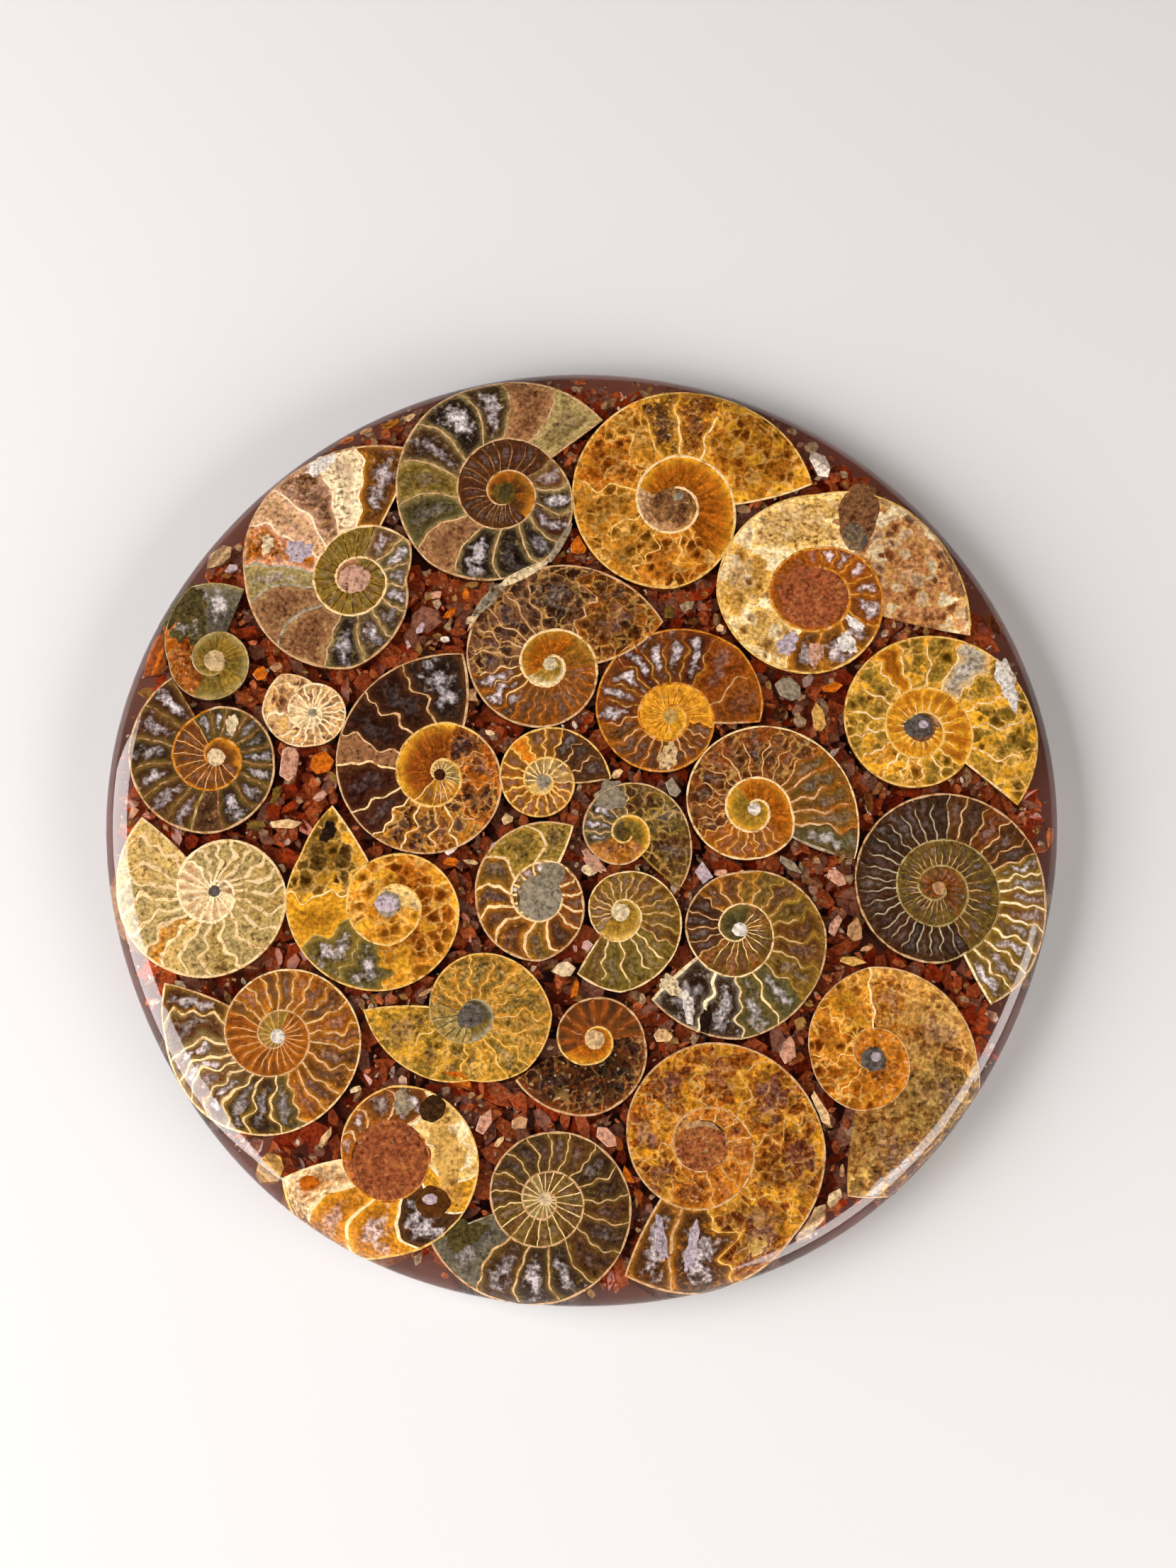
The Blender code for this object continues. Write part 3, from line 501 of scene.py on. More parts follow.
PATCHES: dict[int, tuple[Patch, ...]] = {
    1: (
        Patch(-12.3, 53.2, 1.5, 1.1, 60, MOSS, SMOOTH, 0.1),
        Patch(-9.3, 39.4, 4.3, 0.8, 28, IVORY, MOTTLED, 0.12),
        Patch(-3.5, 44.4, 3.7, 0.6, 60, STONE, MOTTLED, 0.13)),
    2: (
        Patch(14.2, 51, 3.2, 2.8, 20, SAND, MOTTLED, 0.1),
        # The small pale patch on the core is a painted highlight.
        Patch(15.6, 52.4, 1, 0.7, 20, STONE, CRYSTAL, 0.13)),
    3: (
        Patch(44.6, 49.4, 5.4, 3.3, 78, SAND, SANDY, 0.1),
        Patch(43.9, 45.6, 2.4, 2, 100, SLATE, MOTTLED, 0.13),
        Patch(36.6, 35.6, 5.1, 5, 0, SIENNA, SANDY, 0.1), Patch(32.8, 27.8, 2.2, 1.6, 65, LILAC, CRYSTAL),
        Patch(37.2, 26.2, 2.2, 1.2, 85, PINK, CRYSTAL), Patch(42.3, 28, 2.3, 1.3, 115, WHITE, CRYSTAL),
        Patch(43.5, 31.2, 2, 0.8, 140, WHITE, CRYSTAL)),
    4: (
        Patch(-42.4, 58, 2.6, 1.6, 30, WHITE, CRYSTAL), Patch(-45.4, 43.2, 2.4, 1.9, 30, LILAC, CRYSTAL),
        Patch(-50.5, 44.4, 1.6, 1.1, 80, IVORY, CRYSTAL), Patch(-36.3, 38.6, 2.5, 2.2, 0, PINK, SANDY, 0.1)),
    5: (
        Patch(-63.6, 33.8, 4.6, 2.6, 50, MOSS, CRYSTAL), Patch(-58.3, 25, 1.6, 1.6, 0, CREAM, SMOOTH, 0.1)),
    6: (Patch(-55.2, 14.6, 1.8, 1, 100, IVORY, CRYSTAL),),
    10: (Patch(-14.8, 35.2, 3.8, 0.9, 48, STONE, MOTTLED, 0.12),),
    11: (Patch(13.6, 9.4, 2.6, 1.5, 80, CREAM, MOTTLED),),
    13: (
        Patch(4.6, 3, 2.8, 2.2, 30, STONE, CRYSTAL), Patch(1.8, -7.4, 2.6, 0.9, 130, PINK, SMOOTH)),
    14: (Patch(27, 1, 1, 0.9, 0, WHITE, CRYSTAL, 0.1),),
    15: (
        Patch(67.4, 21.4, 4, 1.7, 105, WHITE, CRYSTAL), Patch(53.2, 14.2, 2.3, 2, 0, SLATE, CRYSTAL, 0.1),
        # The small lilac patch on the core is a painted glint, a painted highlight.
        Patch(53.9, 14.6, 0.9, 0.7, 0, LILAC, CRYSTAL, 0.12)),
    17: (
        Patch(-30.2, -13.9, 1.9, 1.5, 0, LILAC, CRYSTAL, 0.1),
        Patch(-39.5, -2.6, 1.7, 1.3, 70, SOOT, SMOOTH)),
    18: (
        Patch(-6.3, -13.6, 3.3, 3.1, 0, STONE, CRYSTAL, 0.1),
        Patch(-4.5, -9.4, 2, 1.9, 90, STONE, SMOOTH, 0.11)),
    20: (
        Patch(16.4, -30, 2.6, 1, 100, WHITE, CRYSTAL), Patch(19, -32.4, 3, 0.9, 85, SOOT, SMOOTH),
        Patch(13.8, -26.8, 2.2, 1.2, 140, IVORY, CRYSTAL)),
    21: (
        Patch(44.6, -38, 2, 1.8, 0, SLATE, CRYSTAL, 0.1), Patch(45, -37.6, 0.9, 0.8, 0, LILAC, SMOOTH, 0.12)),
    22: (
        Patch(18.2, -51.4, 3.9, 3.7, 0, SIENNA, MOTTLED, 0.1),
        # These two lilac patches are painted glints: painted highlights in the bottom chambers.
        Patch(12, -64.8, 3.6, 0.9, 102, LILAC, CRYSTAL), Patch(16.6, -66.2, 3.6, 1, 78, LILAC, CRYSTAL),
        Patch(26.4, -66, 1.8, 1, 40, STRAW, CRYSTAL)),
    24: (Patch(-17, -31.4, 2.2, 1.8, 30, SLATE, CRYSTAL, 0.1),),
    26: (
        Patch(-28.8, -53.4, 6, 5.9, 0, SIENNA, SANDY, 0.1), Patch(-20.4, -52.4, 2.6, 5, 10, STRAW, CELLULAR),
        Patch(-27.2, -44.5, 2, 1.7, 80, STONE, MOTTLED),
        Patch(-22.6, -45.4, 2.2, 1.9, 60, BROWN, SMOOTH, 0.1),
        Patch(-22.4, -59.4, 2.6, 2.4, 0, UMBER, SMOOTH, 0.1),
        # The small lilac patch on the dark ball is a painted glint, a painted highlight.
        Patch(-22.8, -59, 1.2, 0.9, 0, LILAC, MOTTLED, 0.13),
        Patch(-41.2, -56.6, 1.6, 1.1, 10, ORANGE, SMOOTH, 0.1)),
    27: (Patch(-17.6, -64.2, 3.6, 2, 30, MOSS, CRYSTAL),),
}

SHARDS: tuple[tuple[Slot, Chip], ...] = (
    (Slot.ROSE, Chip(-45.9, 8.2, 6.4, 3, 88, PINK)), (Slot.BONE, Chip(-46.3, -1.4, 5.6, 1.9, 3, CREAM)),
    (Slot.BONE, Chip(-50.9, 23.4, 3.2, 2.6, 70, ORANGE)), (Slot.RUST, Chip(-0.4, 44.2, 3.6, 3.2, 60, ORANGE)),
    (Slot.BONE, Chip(-2.6, -24.2, 4.2, 2.6, 8, IVORY)), (Slot.ROSE, Chip(19, -9.2, 4.2, 2.2, 115, LILAC)),
    (Slot.BONE, Chip(41.8, -22.9, 4.4, 1.4, -8, STRAW)), (Slot.RUST, Chip(39.6, -9.8, 3.8, 2.4, -40, PINK)),
    (Slot.ROSE, Chip(39.2, -17.4, 4.4, 1.8, 72, PINK)), (Slot.BONE, Chip(42.2, -18.2, 4, 2.6, 80, TAN)),
    (Slot.BONE, Chip(36.4, -45.6, 6.8, 1.4, -62, CREAM)), (Slot.BONE, Chip(38.2, -58.9, 3.4, 2, 55, IVORY)),
    (Slot.ROSE, Chip(-14.8, -47.6, 4.6, 2, 62, PINK)), (Slot.BONE, Chip(34.6, -62.4, 8.4, 1.9, 48, CREAM)),
    (Slot.BONE, Chip(-9.3, -47.5, 3, 2.2, 20, TAN)), (Slot.RUST, Chip(3.7, -49.6, 4.6, 2.6, -48, PINK)),
    (Slot.BONE, Chip(32.4, -7.7, 4.8, 1.4, -36, STONE)), (Slot.BONE, Chip(-47.2, -54.4, 5.4, 4.4, 40, STRAW)),
    (Slot.BONE, Chip(38.6, 57.9, 5.6, 2.6, 118, WHITE)), (Slot.ROSE, Chip(32.9, 20.4, 4.8, 3.4, -30, STONE)),
    (Slot.BONE, Chip(37.4, 15.6, 5.2, 2.2, 100, STRAW)), (Slot.RUST, Chip(39.6, 20.7, 4.6, 1.6, 8, ORANGE)),
    (Slot.ROSE, Chip(14.4, 4.4, 3.8, 1.9, -68, STONE)), (Slot.BONE, Chip(1.3, -8.6, 2.8, 2.4, 0, IVORY)),
    (Slot.BONE, Chip(-11.6, -0.6, 2.4, 1.9, 30, CREAM)), (Slot.RUST, Chip(-41, 8.4, 4, 3.6, 75, ORANGE)),
    (Slot.RUST, Chip(-67, 26.2, 9, 4.2, 70, ORANGE)), (Slot.BONE, Chip(12.4, -34.4, 3.2, 2.4, 0, CREAM)),
    (Slot.ROSE, Chip(31.6, -36.6, 4.4, 2.4, 82, PINK)), (Slot.BONE, Chip(-58.2, 42.6, 5.4, 2.8, 40, CREAM)),
    (Slot.RUST, Chip(65.9, 31.2, 4.4, 2.6, -58, RUST)), (Slot.BONE, Chip(63.1, -31.4, 2.8, 1.7, -30, PINK)),
)

SLIVERS: tuple[Chip, ...] = (
    Chip(-17.2, 32, 4.4, 1, 62, IVORY, MOTTLED),
    Chip(-17.5, 19.2, 3, 2.4, 20, TAN), Chip(-14.5, 13.2, 1.6, 1.4, 0, IVORY),
    Chip(-51, -1.5, 3, 1.8, 10, OLIVE), Chip(-48, 3, 2.6, 1.6, 80, OLIVE),
    Chip(-41, 3, 2.2, 1.6, 40, PINK), Chip(-13, -4.5, 3.8, 1, 5, LILAC),
    Chip(-20.5, -5.5, 2.4, 1.4, 20, WHITE), Chip(-20.6, -7.4, 3.6, 1.8, 10, ORANGE),
    Chip(-17, -7.5, 3, 0.9, -10, CREAM), Chip(-1, -27, 3.8, 1.6, 75, ORANGE),
    Chip(22, -9, 2.5, 1.4, 10, PINK), Chip(24.6, -9.4, 1.8, 1.2, 30, CREAM),
    Chip(5.5, 6.6, 2.2, 1.2, 40, CREAM), Chip(31, 16.5, 3, 2.2, 60, MAROON),
    Chip(14, 33.2, 2.8, 2, 70, OLIVE), Chip(17.8, 31.6, 2.4, 1.6, 20, UMBER),
    Chip(22, 30.4, 1.8, 1.2, 0, CREAM), Chip(-56, 40.2, 2.6, 1.6, 30, LILAC),
    Chip(-38, 62.5, 3.4, 1.6, 25, ORANGE), Chip(-35, 64, 2.8, 1.6, 30, TAN),
    Chip(-31, 65, 3.2, 1.8, 20, HONEY), Chip(-28, 66.2, 2.6, 1.4, 30, CREAM),
    Chip(-41, -57, 2.6, 1.4, 40, ORANGE), Chip(-39, -50, 3.6, 1.2, 55, CREAM),
    Chip(-34.5, -42.6, 2.4, 1.6, 20, IVORY), Chip(-19, -41.2, 5.4, 2.4, -20, ORANGE),
    Chip(-12.4, -50.4, 3.4, 1.3, 45, CREAM), Chip(5.6, -50.6, 3, 1.8, -50, RUST),
    Chip(7, -55.4, 3, 1.6, -60, ORANGE), Chip(8.6, -58.4, 3.4, 1.6, -70, RUST),
    Chip(-9.5, -41.6, 3, 2.4, 10, MAROON), Chip(24, -67, 2.4, 1.2, 30, PINK),
    Chip(73.3, -3, 3.6, 1.8, 88, ORANGE), Chip(-66, 31, 3.4, 2, 60, ORANGE),
    Chip(-21, 33, 2.6, 1.6, 30, ORANGE), Chip(-18.6, 36.2, 2.8, 1.8, 70, ORANGE),
    Chip(-23.4, 36, 2.2, 1.6, 10, PINK), Chip(-25.6, 30.6, 2.4, 1.4, 50, LILAC),
    Chip(-22, 28.6, 1.8, 1.2, 0, WHITE), Chip(-17.8, 31.8, 1.8, 1.2, 40, IVORY),
    Chip(-47, 27.4, 3.4, 1.6, -40, IVORY), Chip(-48.4, 24.2, 2.2, 1.6, 30, TAN),
    Chip(-53, -23.2, 6.4, 0.9, -20, SAND), Chip(-24, -27.8, 3.2, 1.2, 30, TAN),
    Chip(29.6, 31, 2, 1.2, 0, HONEY), Chip(45, 2.2, 5.8, 2, 100, UMBER),
    Chip(46.4, 4.4, 3.2, 1.6, 60, SAND), Chip(60.6, 30.6, 3.4, 1.4, 20, IVORY),
    Chip(36, -10.6, 4.2, 2, -30, SAND), Chip(44, -21, 2.4, 1.4, 0, TAN),
    Chip(36.6, -51.6, 5.4, 1.3, -78, SLATE), Chip(39.4, -54.6, 3, 1, -86, TAN),
    Chip(-9.4, -67, 2, 1, 0, CREAM), Chip(29.4, -31.4, 2.8, 1.3, 70, PINK),
    Chip(0.5, -29.4, 2.2, 1.2, 20, CREAM), Chip(-37.8, -29.6, 1.8, 1.2, 0, TAN),
)


@dataclass(frozen=True)
class PlateForm:
    """The polished plate's outer form: a disc with a rounded upper rim, a little out of round.

    Each wave round the rim is its number of crests, its height as a share of the radius, and its phase in
    degrees. foot is the chamfer at the bottom. inlay_floor is how high up the slices' pockets end.
    """

    radius: float = 75.0
    thickness: float = 9.0
    round_width: float = 5.5
    round_drop: float = 4.0
    foot: float = 0.8
    inlay_floor: float = 3.6
    waves: tuple[tuple[int, float, float], ...] = ((3, 0.0029, 90.0), (5, 0.0028, 90.0), (6, 0.0022, 0.0))

    @property
    def flat(self) -> float:
        """How far out the flat face ends and the rim's rounding starts."""
        return self.radius - self.round_width

    def out_of_round(self, bearing: float) -> float:
        """How many times further out the rim is at a bearing than on a true circle."""
        return 1.0 + sum(high * math.cos(math.radians(n * bearing - phase)) for n, high, phase in self.waves)

    def on_top(self, x: float, y: float, lift: float = 0.0) -> Vector:
        """Lays a point of the flat drawing on the plate, over the rim's rounding and down its side.

        Args:
            x: distance right of the middle, in millimetres.
            y: distance up from the middle, in millimetres.
            lift: how far the point stands off the plate's surface, in millimetres.

        Returns:
            The point in metres.
        """
        out = math.hypot(x, y)
        ease = self.out_of_round(math.degrees(math.atan2(y, x)))
        true_out = out / ease
        if true_out <= self.flat:
            return Vector((x, y, self.thickness + lift)) * MM
        share = min((true_out - self.flat) / self.round_width, 1.0)
        fall = math.sqrt(1.0 - share * share)
        lean = Vector((share / self.round_width, fall / self.round_drop)).normalized()
        reach = min(true_out, self.radius) + lean.x * lift
        height = self.thickness - self.round_drop * (1.0 - fall) + lean.y * lift
        height -= max(true_out - self.radius, 0.0)
        scale = reach * ease / out
        return Vector((x * scale, y * scale, height)) * MM


PLATE = PlateForm()


class Graph:
    """One node material, wired up step by step around its Principled shader."""

    def __init__(self, name: str) -> None:
        """Makes an empty material.

        Args:
            name: the material's name.
        """
        self.material = bpy.data.materials.new(name)
        self.material.use_nodes = True
        self.tree = self.material.node_tree
        self.shader = self.tree.nodes["Principled BSDF"]
        self.output = self.tree.nodes["Material Output"]

    def node(self, kind: str, values: dict[int | str, Source], **settings: str | bool) -> bpy.types.Node:
        """Adds a node.

        Args:
            kind: the shader node's type, without its prefix.
            values: what its inputs are fed, by their number or name.
            settings: its other settings, by name.

        Returns:
            The node.
        """
        made = self.tree.nodes.new("ShaderNode" + kind)
        for key, value in settings.items():
            setattr(made, key, value)
        for key, value in values.items():
            self.feed(made.inputs[key], value)
        return made

    def feed(self, target: Socket, source: Source) -> None:
        """Joins a socket to another socket, or sets it to a plain value.

        Args:
            target: the socket that takes the value.
            source: a socket, a number, a vector or a colour.
        """
        if isinstance(source, bpy.types.NodeSocket):
            self.tree.links.new(source, target)
        elif target.type == "RGBA":
            target.default_value = (*source, 1.0)
        else:
            target.default_value = source

    def sum(self, operation: str, first: Source, second: Source = 0.0, clamp: bool = False) -> Socket:
        """Works out one step of arithmetic on one or two numbers."""
        return self.node("Math", {0: first, 1: second}, operation=operation, use_clamp=clamp).outputs[0]

    def vector(self, operation: str, first: Source, second: Source) -> Socket:
        """Works out one step of arithmetic on two vectors."""
        return self.node("VectorMath", {0: first, 1: second}, operation=operation).outputs[0]

    def blend(self, share: Source, first: Source, second: Source, mode: str = "MIX") -> Socket:
        """Mixes a share of the second colour into the first."""
        values = {0: share, 6: first, 7: second}
        return self.node("Mix", values, data_type="RGBA", blend_type=mode).outputs[2]

    def span(self, value: Source, low: float, high: float, start: float = 0.0, stop: float = 1.0) -> Socket:
        """Eases from start to stop as a value goes from low to high."""
        values = {0: value, 1: low, 2: high, 3: start, 4: stop}
        return self.node("MapRange", values, interpolation_type="SMOOTHSTEP").outputs[0]

    def noise(self, place: Source, scale: float, detail: float = 3.0, rough: float = 0.55,
              warp: float = 0.0) -> tuple[Socket, Socket]:
        """Adds a cloudy pattern.

        Args:
            place: where it is read.
            scale: how many features there are to a unit of place.
            detail: how many finer layers it has.
            rough: how strong the finer layers are.
            warp: how far it is bent by itself.

        Returns:
            Its value and its colour.
        """
        values = {"Vector": place, "Scale": scale, "Detail": detail, "Roughness": rough, "Distortion": warp}
        made = self.node("TexNoise", values)
        return made.outputs["Fac"], made.outputs["Color"]

    def cells(self, place: Source, scale: float, feature: str = "F1") -> bpy.types.Node:
        """Adds a pattern of cells, whose distance is measured to a cell's middle, or as feature says."""
        return self.node("TexVoronoi", {"Vector": place, "Scale": scale}, feature=feature)

    def parts(self, colour: Socket) -> list[Socket]:
        """The red, green and blue of a colour."""
        return list(self.node("SeparateColor", {0: colour}).outputs)

    def place_mm(self) -> Socket:
        """The surface point in the plate's frame, in millimetres."""
        coords = self.node("TexCoord", {})
        return self.vector("MULTIPLY", coords.outputs["Object"], (1.0 / MM, 1.0 / MM, 1.0 / MM))

    def in_chamber(self) -> Socket:
        """The surface point as its chamber's number and share along it, and the share across it."""
        return self.node("UVMap", {}, uv_map="chambers").outputs[0]

    def read(self, name: str) -> bpy.types.Node:
        """Reads a colour painted on the mesh."""
        return self.node("Attribute", {}, attribute_name=name, attribute_type="GEOMETRY")

    def relief(self, height: Socket, depth: float = 0.02, strength: float = 0.3) -> None:
        """Gives the shader a fine relief, of a depth in millimetres."""
        made = self.node("Bump", {"Strength": strength, "Distance": depth * MM, "Height": height})
        self.feed(self.shader.inputs["Normal"], made.outputs["Normal"])


@dataclass(frozen=True)
class Ground:
    """What a filling's colour is worked out from, in the material's graph g.

    place is the surface point in millimetres, pulled out of true. base and halo are the painted colours
    of a chamber's middle and fringe, and deep is its dark tone. away is the painted distance from the
    nearest wall, in millimetres. fine and uneven are the finest pattern and a wide, cloudy one.
    """

    g: Graph
    place: Socket
    base: Socket
    halo: Socket
    deep: Socket
    away: Socket
    fine: Socket
    uneven: Socket


@dataclass(frozen=True)
class CalciteFinish:
    """The polished filling of a shell's chambers: translucent calcite that is darker away from its walls.

    The colours are painted chamber by chamber. cloud and cell are the sizes of its clouds and its crystals
    in millimetres, deep is how dark its deep parts are, fringe is how far the paler edge reaches in from
    a wall in millimetres, and gloss is its roughness. cast is the colour that its deep parts turn to and
    contrast is how sharply its clouds part. A chamber's glint is a painted highlight: light off its crystals,
    painted into the colour. It lies at glint_at and reaches glint_reach to each side, both as shares along
    and across the chamber, and glint_break is how ragged it is.
    streak_scale is how many streaks come to a chamber, along and across. wander is how far, in
    millimetres, the patterns are pulled out of true.
    """

    name: str
    cloud: float
    cell: float
    deep: float
    fringe: float
    gloss: float
    # The colour of the painted glint: a painted highlight, light off the crystals painted into the filling.
    glint: Colour = (0.60, 0.51, 0.49)
    seam: Colour = (0.60, 0.33, 0.08)
    speck: Colour = (0.52, 0.34, 0.17)
    cast: Colour = (1.0, 0.66, 0.5)
    contrast: float = 9.0
    glint_at: tuple[float, float] = (0.54, 0.55)
    glint_reach: tuple[float, float] = (0.30, 0.40)
    glint_break: float = 3.2
    streak_scale: tuple[float, float, float] = (6.0, 1.1, 0.0)
    wander: float = 1.8

    def clouds(self, ground: Ground, share: Socket) -> Socket:
        """Clouds the filling from its dark tone to its fringe's tone.

        Args:
            ground: what the colour is worked out from.
            share: the painted strength of the clouds.

        Returns:
            The clouded colour.
        """
        g = ground.g
        cloud, _ = g.noise(ground.place, 1.0 / self.cloud, 5.0, 0.65, 0.8)
        mixed = g.sum("ADD", g.sum("MULTIPLY", cloud, 0.62), g.sum("MULTIPLY", ground.fine, 0.38))
        strength = g.sum("MULTIPLY", share, self.contrast)
        tone = g.sum("MULTIPLY", g.sum("SUBTRACT", mixed, 0.5), strength)
        shaded = g.blend(g.span(tone, 0.0, -1.0), ground.base, ground.deep)
        return g.blend(g.span(tone, 0.05, 1.2, 0.0, 0.85), shaded, ground.halo)

    def crystals(self, ground: Ground, shaded: Socket, share: Socket) -> Socket:
        """Breaks the filling into cells that are dark in the middle, with pale seams that come and go.

        Args:
            ground: what the colour is worked out from.
            shaded: the colour so far.
            share: the painted strength of the cells.

        Returns:
            The colour with its cells.
        """
        g = ground.g
        cell = g.cells(ground.place, 1.0 / self.cell)
        chosen, level, _ = g.parts(cell.outputs["Color"])
        from_middle = g.sum("ADD", cell.outputs["Distance"], g.sum("MULTIPLY", level, 0.3))
        dark = g.span(from_middle, 0.72, 0.2)
        shaded = g.blend(g.sum("MULTIPLY", dark, share), shaded, ground.deep)
        bright = g.sum("MULTIPLY", g.span(chosen, 0.5, 1.0), g.span(from_middle, 0.2, 0.5))
        shaded = g.blend(g.sum("MULTIPLY", bright, share), shaded, ground.halo)
        where, _ = g.noise(ground.place, 0.3, 1.0)
        edges = g.cells(ground.place, 1.0 / self.cell, "DISTANCE_TO_EDGE").outputs["Distance"]
        seam = g.sum("MULTIPLY", g.span(edges, 0.11, 0.02), g.span(where, 0.38, 0.58, 0.15, 0.85))
        return g.blend(g.sum("MULTIPLY", seam, share), shaded, self.seam)

    def streaks(self, ground: Ground, shaded: Socket, share: Socket) -> Socket:
        """Draws dark streaks across the chambers, from one wall to the other.

        Args:
            ground: what the colour is worked out from.
            shaded: the colour so far.
            share: the painted strength of the streaks.

        Returns:
            The colour with its streaks.
        """
        g = ground.g
        streak, _ = g.noise(g.vector("MULTIPLY", g.in_chamber(), self.streak_scale), 1.0, 2.0)
        streak = g.span(streak, 0.36, 0.62, 1.0, 0.0)
        return g.blend(g.sum("MULTIPLY", streak, share), shaded, ground.deep)

    def fringes(self, ground: Ground, shaded: Socket, share: Socket) -> Socket:
        """Darkens the chambers away from their walls and gives them a ragged, paler fringe along them.

        Args:
            ground: what the colour is worked out from.
            shaded: the colour so far.
            share: the painted strength of the fringe.

        Returns:
            The colour with its fringe.
        """
        g = ground.g
        shaded = g.blend(g.span(ground.away, 0.5, 2.4, 0.0, 0.45), shaded, ground.deep)
        ragged = g.sum("MULTIPLY", ground.away, g.span(ground.fine, 0.3, 0.75, 0.55, 1.9))
        fringe = g.span(ragged, 0.0, self.fringe * 1.3, 1.0, 0.0)
        fringe = g.sum("MULTIPLY", fringe, g.span(ground.uneven, 0.38, 0.58, 0.4, 1.0))
        return g.blend(g.sum("MULTIPLY", fringe, share), shaded, ground.halo)

    def glints(self, ground: Ground, shaded: Socket, share: Socket) -> Socket:
        """Paints a ragged glint in the middle of each chamber: a painted highlight, light off its crystals.

        Args:
            ground: what the colour is worked out from.
            shaded: the colour so far.
            share: the painted strength of the glints.

        Returns:
            The colour with its painted glints.
        """
        g = ground.g
        spot = g.node("SeparateXYZ", {0: g.in_chamber()})
        along = g.sum("SUBTRACT", g.sum("FRACT", spot.outputs[0]), self.glint_at[0])
        along = g.sum("DIVIDE", along, self.glint_reach[0])
        side = g.sum("DIVIDE", g.sum("SUBTRACT", spot.outputs[1], self.glint_at[1]), self.glint_reach[1])
        away = g.sum("SQRT", g.sum("ADD", g.sum("POWER", along, 2.0), g.sum("POWER", side, 2.0)))
        ragged = g.sum("MULTIPLY", g.sum("SUBTRACT", ground.uneven, 0.5), self.glint_break)
        # How strong the painted highlight is, strongest at the chamber's middle.
        painted_shine = g.sum("MULTIPLY", g.span(g.sum("ADD", away, ragged), 1.0, 0.0), share, clamp=True)
        painted_shine = g.sum("MULTIPLY", painted_shine, g.span(ground.fine, 0.35, 0.6, 0.45, 0.9))
        return g.blend(painted_shine, shaded, self.glint)

    def specks(self, ground: Ground, shaded: Socket, mottling: Socket, celling: Socket) -> Socket:
        """Strews pale specks through the strongly mottled fillings, fewer where there are cells.

        Args:
            ground: what the colour is worked out from.
            shaded: the colour so far.
            mottling: the painted strength of the clouds.
            celling: the painted strength of the cells.

        Returns:
            The colour with its specks.
        """
        g = ground.g
        away = g.cells(ground.place, 0.9).outputs["Distance"]
        speck = g.sum("MULTIPLY", g.span(away, 0.26, 0.10), g.span(mottling, 0.6, 0.7))
        speck = g.sum("MULTIPLY", speck, g.span(celling, 0.0, 1.0, 0.6, 0.0))
        return g.blend(speck, shaded, self.speck)

    def make(self) -> bpy.types.Material:
        """Builds the finish.

        Returns:
            The material.
        """
        g = Graph(self.name)
        place = g.place_mm()
        filling, halo, habit = g.read("filling"), g.read("halo"), g.read("habit")
        painted_glint_share, mottling, celling = g.parts(habit.outputs["Color"])
        uneven, drift = g.noise(place, 0.7)
        pull = g.vector("SUBTRACT", drift, (0.5, 0.5, 0.5))
        moved = g.vector("ADD", place, g.vector("MULTIPLY", pull, (self.wander, self.wander, 0.0)))
        fine, _ = g.noise(place, 1.7, 4.0, 0.6)
        base = filling.outputs["Color"]
        deep = g.blend(1.0, base, tuple(self.deep * part for part in self.cast), "MULTIPLY")
        away = filling.outputs["Alpha"]
        ground = Ground(g, moved, base, halo.outputs["Color"], deep, away, fine, uneven)
        shaded = self.clouds(ground, mottling)
        shaded = self.crystals(ground, shaded, celling)
        shaded = self.streaks(ground, shaded, halo.outputs["Alpha"])
        shaded = self.fringes(ground, shaded, habit.outputs["Alpha"])
        # Paints the glints: a painted highlight in each chamber.
        shaded = self.glints(ground, shaded, painted_glint_share)
        shaded = self.specks(ground, shaded, mottling, celling)
        level = g.span(fine, 0.32, 0.68, 0.62, 1.42)
        grey = g.node("CombineColor", {0: level, 1: level, 2: level})
        shaded = g.blend(1.0, shaded, grey.outputs[0], "MULTIPLY")
        g.feed(g.shader.inputs["Base Color"], shaded)
        g.feed(g.shader.inputs["Roughness"], g.sum("ADD", self.gloss, g.sum("MULTIPLY", fine, 0.06)))
        g.relief(fine)
        return g.material


@dataclass(frozen=True)
class ShellWallFinish:
    """The polished edge of a shell's own wall and septa: its painted colour, clouded paler and darker."""

    name: str = "shell_wall"
    cast: Colour = (0.40, 0.26, 0.13)
    pale: Colour = (0.80, 0.61, 0.40)
    gloss: float = 0.05

    def make(self) -> bpy.types.Material:
        """Builds the finish.

        Returns:
            The material.
        """
        g = Graph(self.name)
        place = g.place_mm()
        colour = g.read("filling").outputs["Color"]
        cloud, _ = g.noise(place, 0.9, 5.0, 0.65, 0.4)
        fine, _ = g.noise(place, 4.0)
        deep = g.blend(1.0, colour, self.cast, "MULTIPLY")
        light = g.blend(0.4, colour, self.pale)
        shaded = g.blend(g.span(cloud, 0.52, 0.32), colour, deep)
        shaded = g.blend(g.span(cloud, 0.50, 0.70), shaded, light)
        shaded = g.blend(g.span(fine, 0.55, 0.30, 0.0, 0.45), shaded, deep)
        g.feed(g.shader.inputs["Base Color"], shaded)
        g.feed(g.shader.inputs["Roughness"], g.sum("ADD", self.gloss, g.sum("MULTIPLY", fine, 0.08)))
        g.relief(fine)
        return g.material


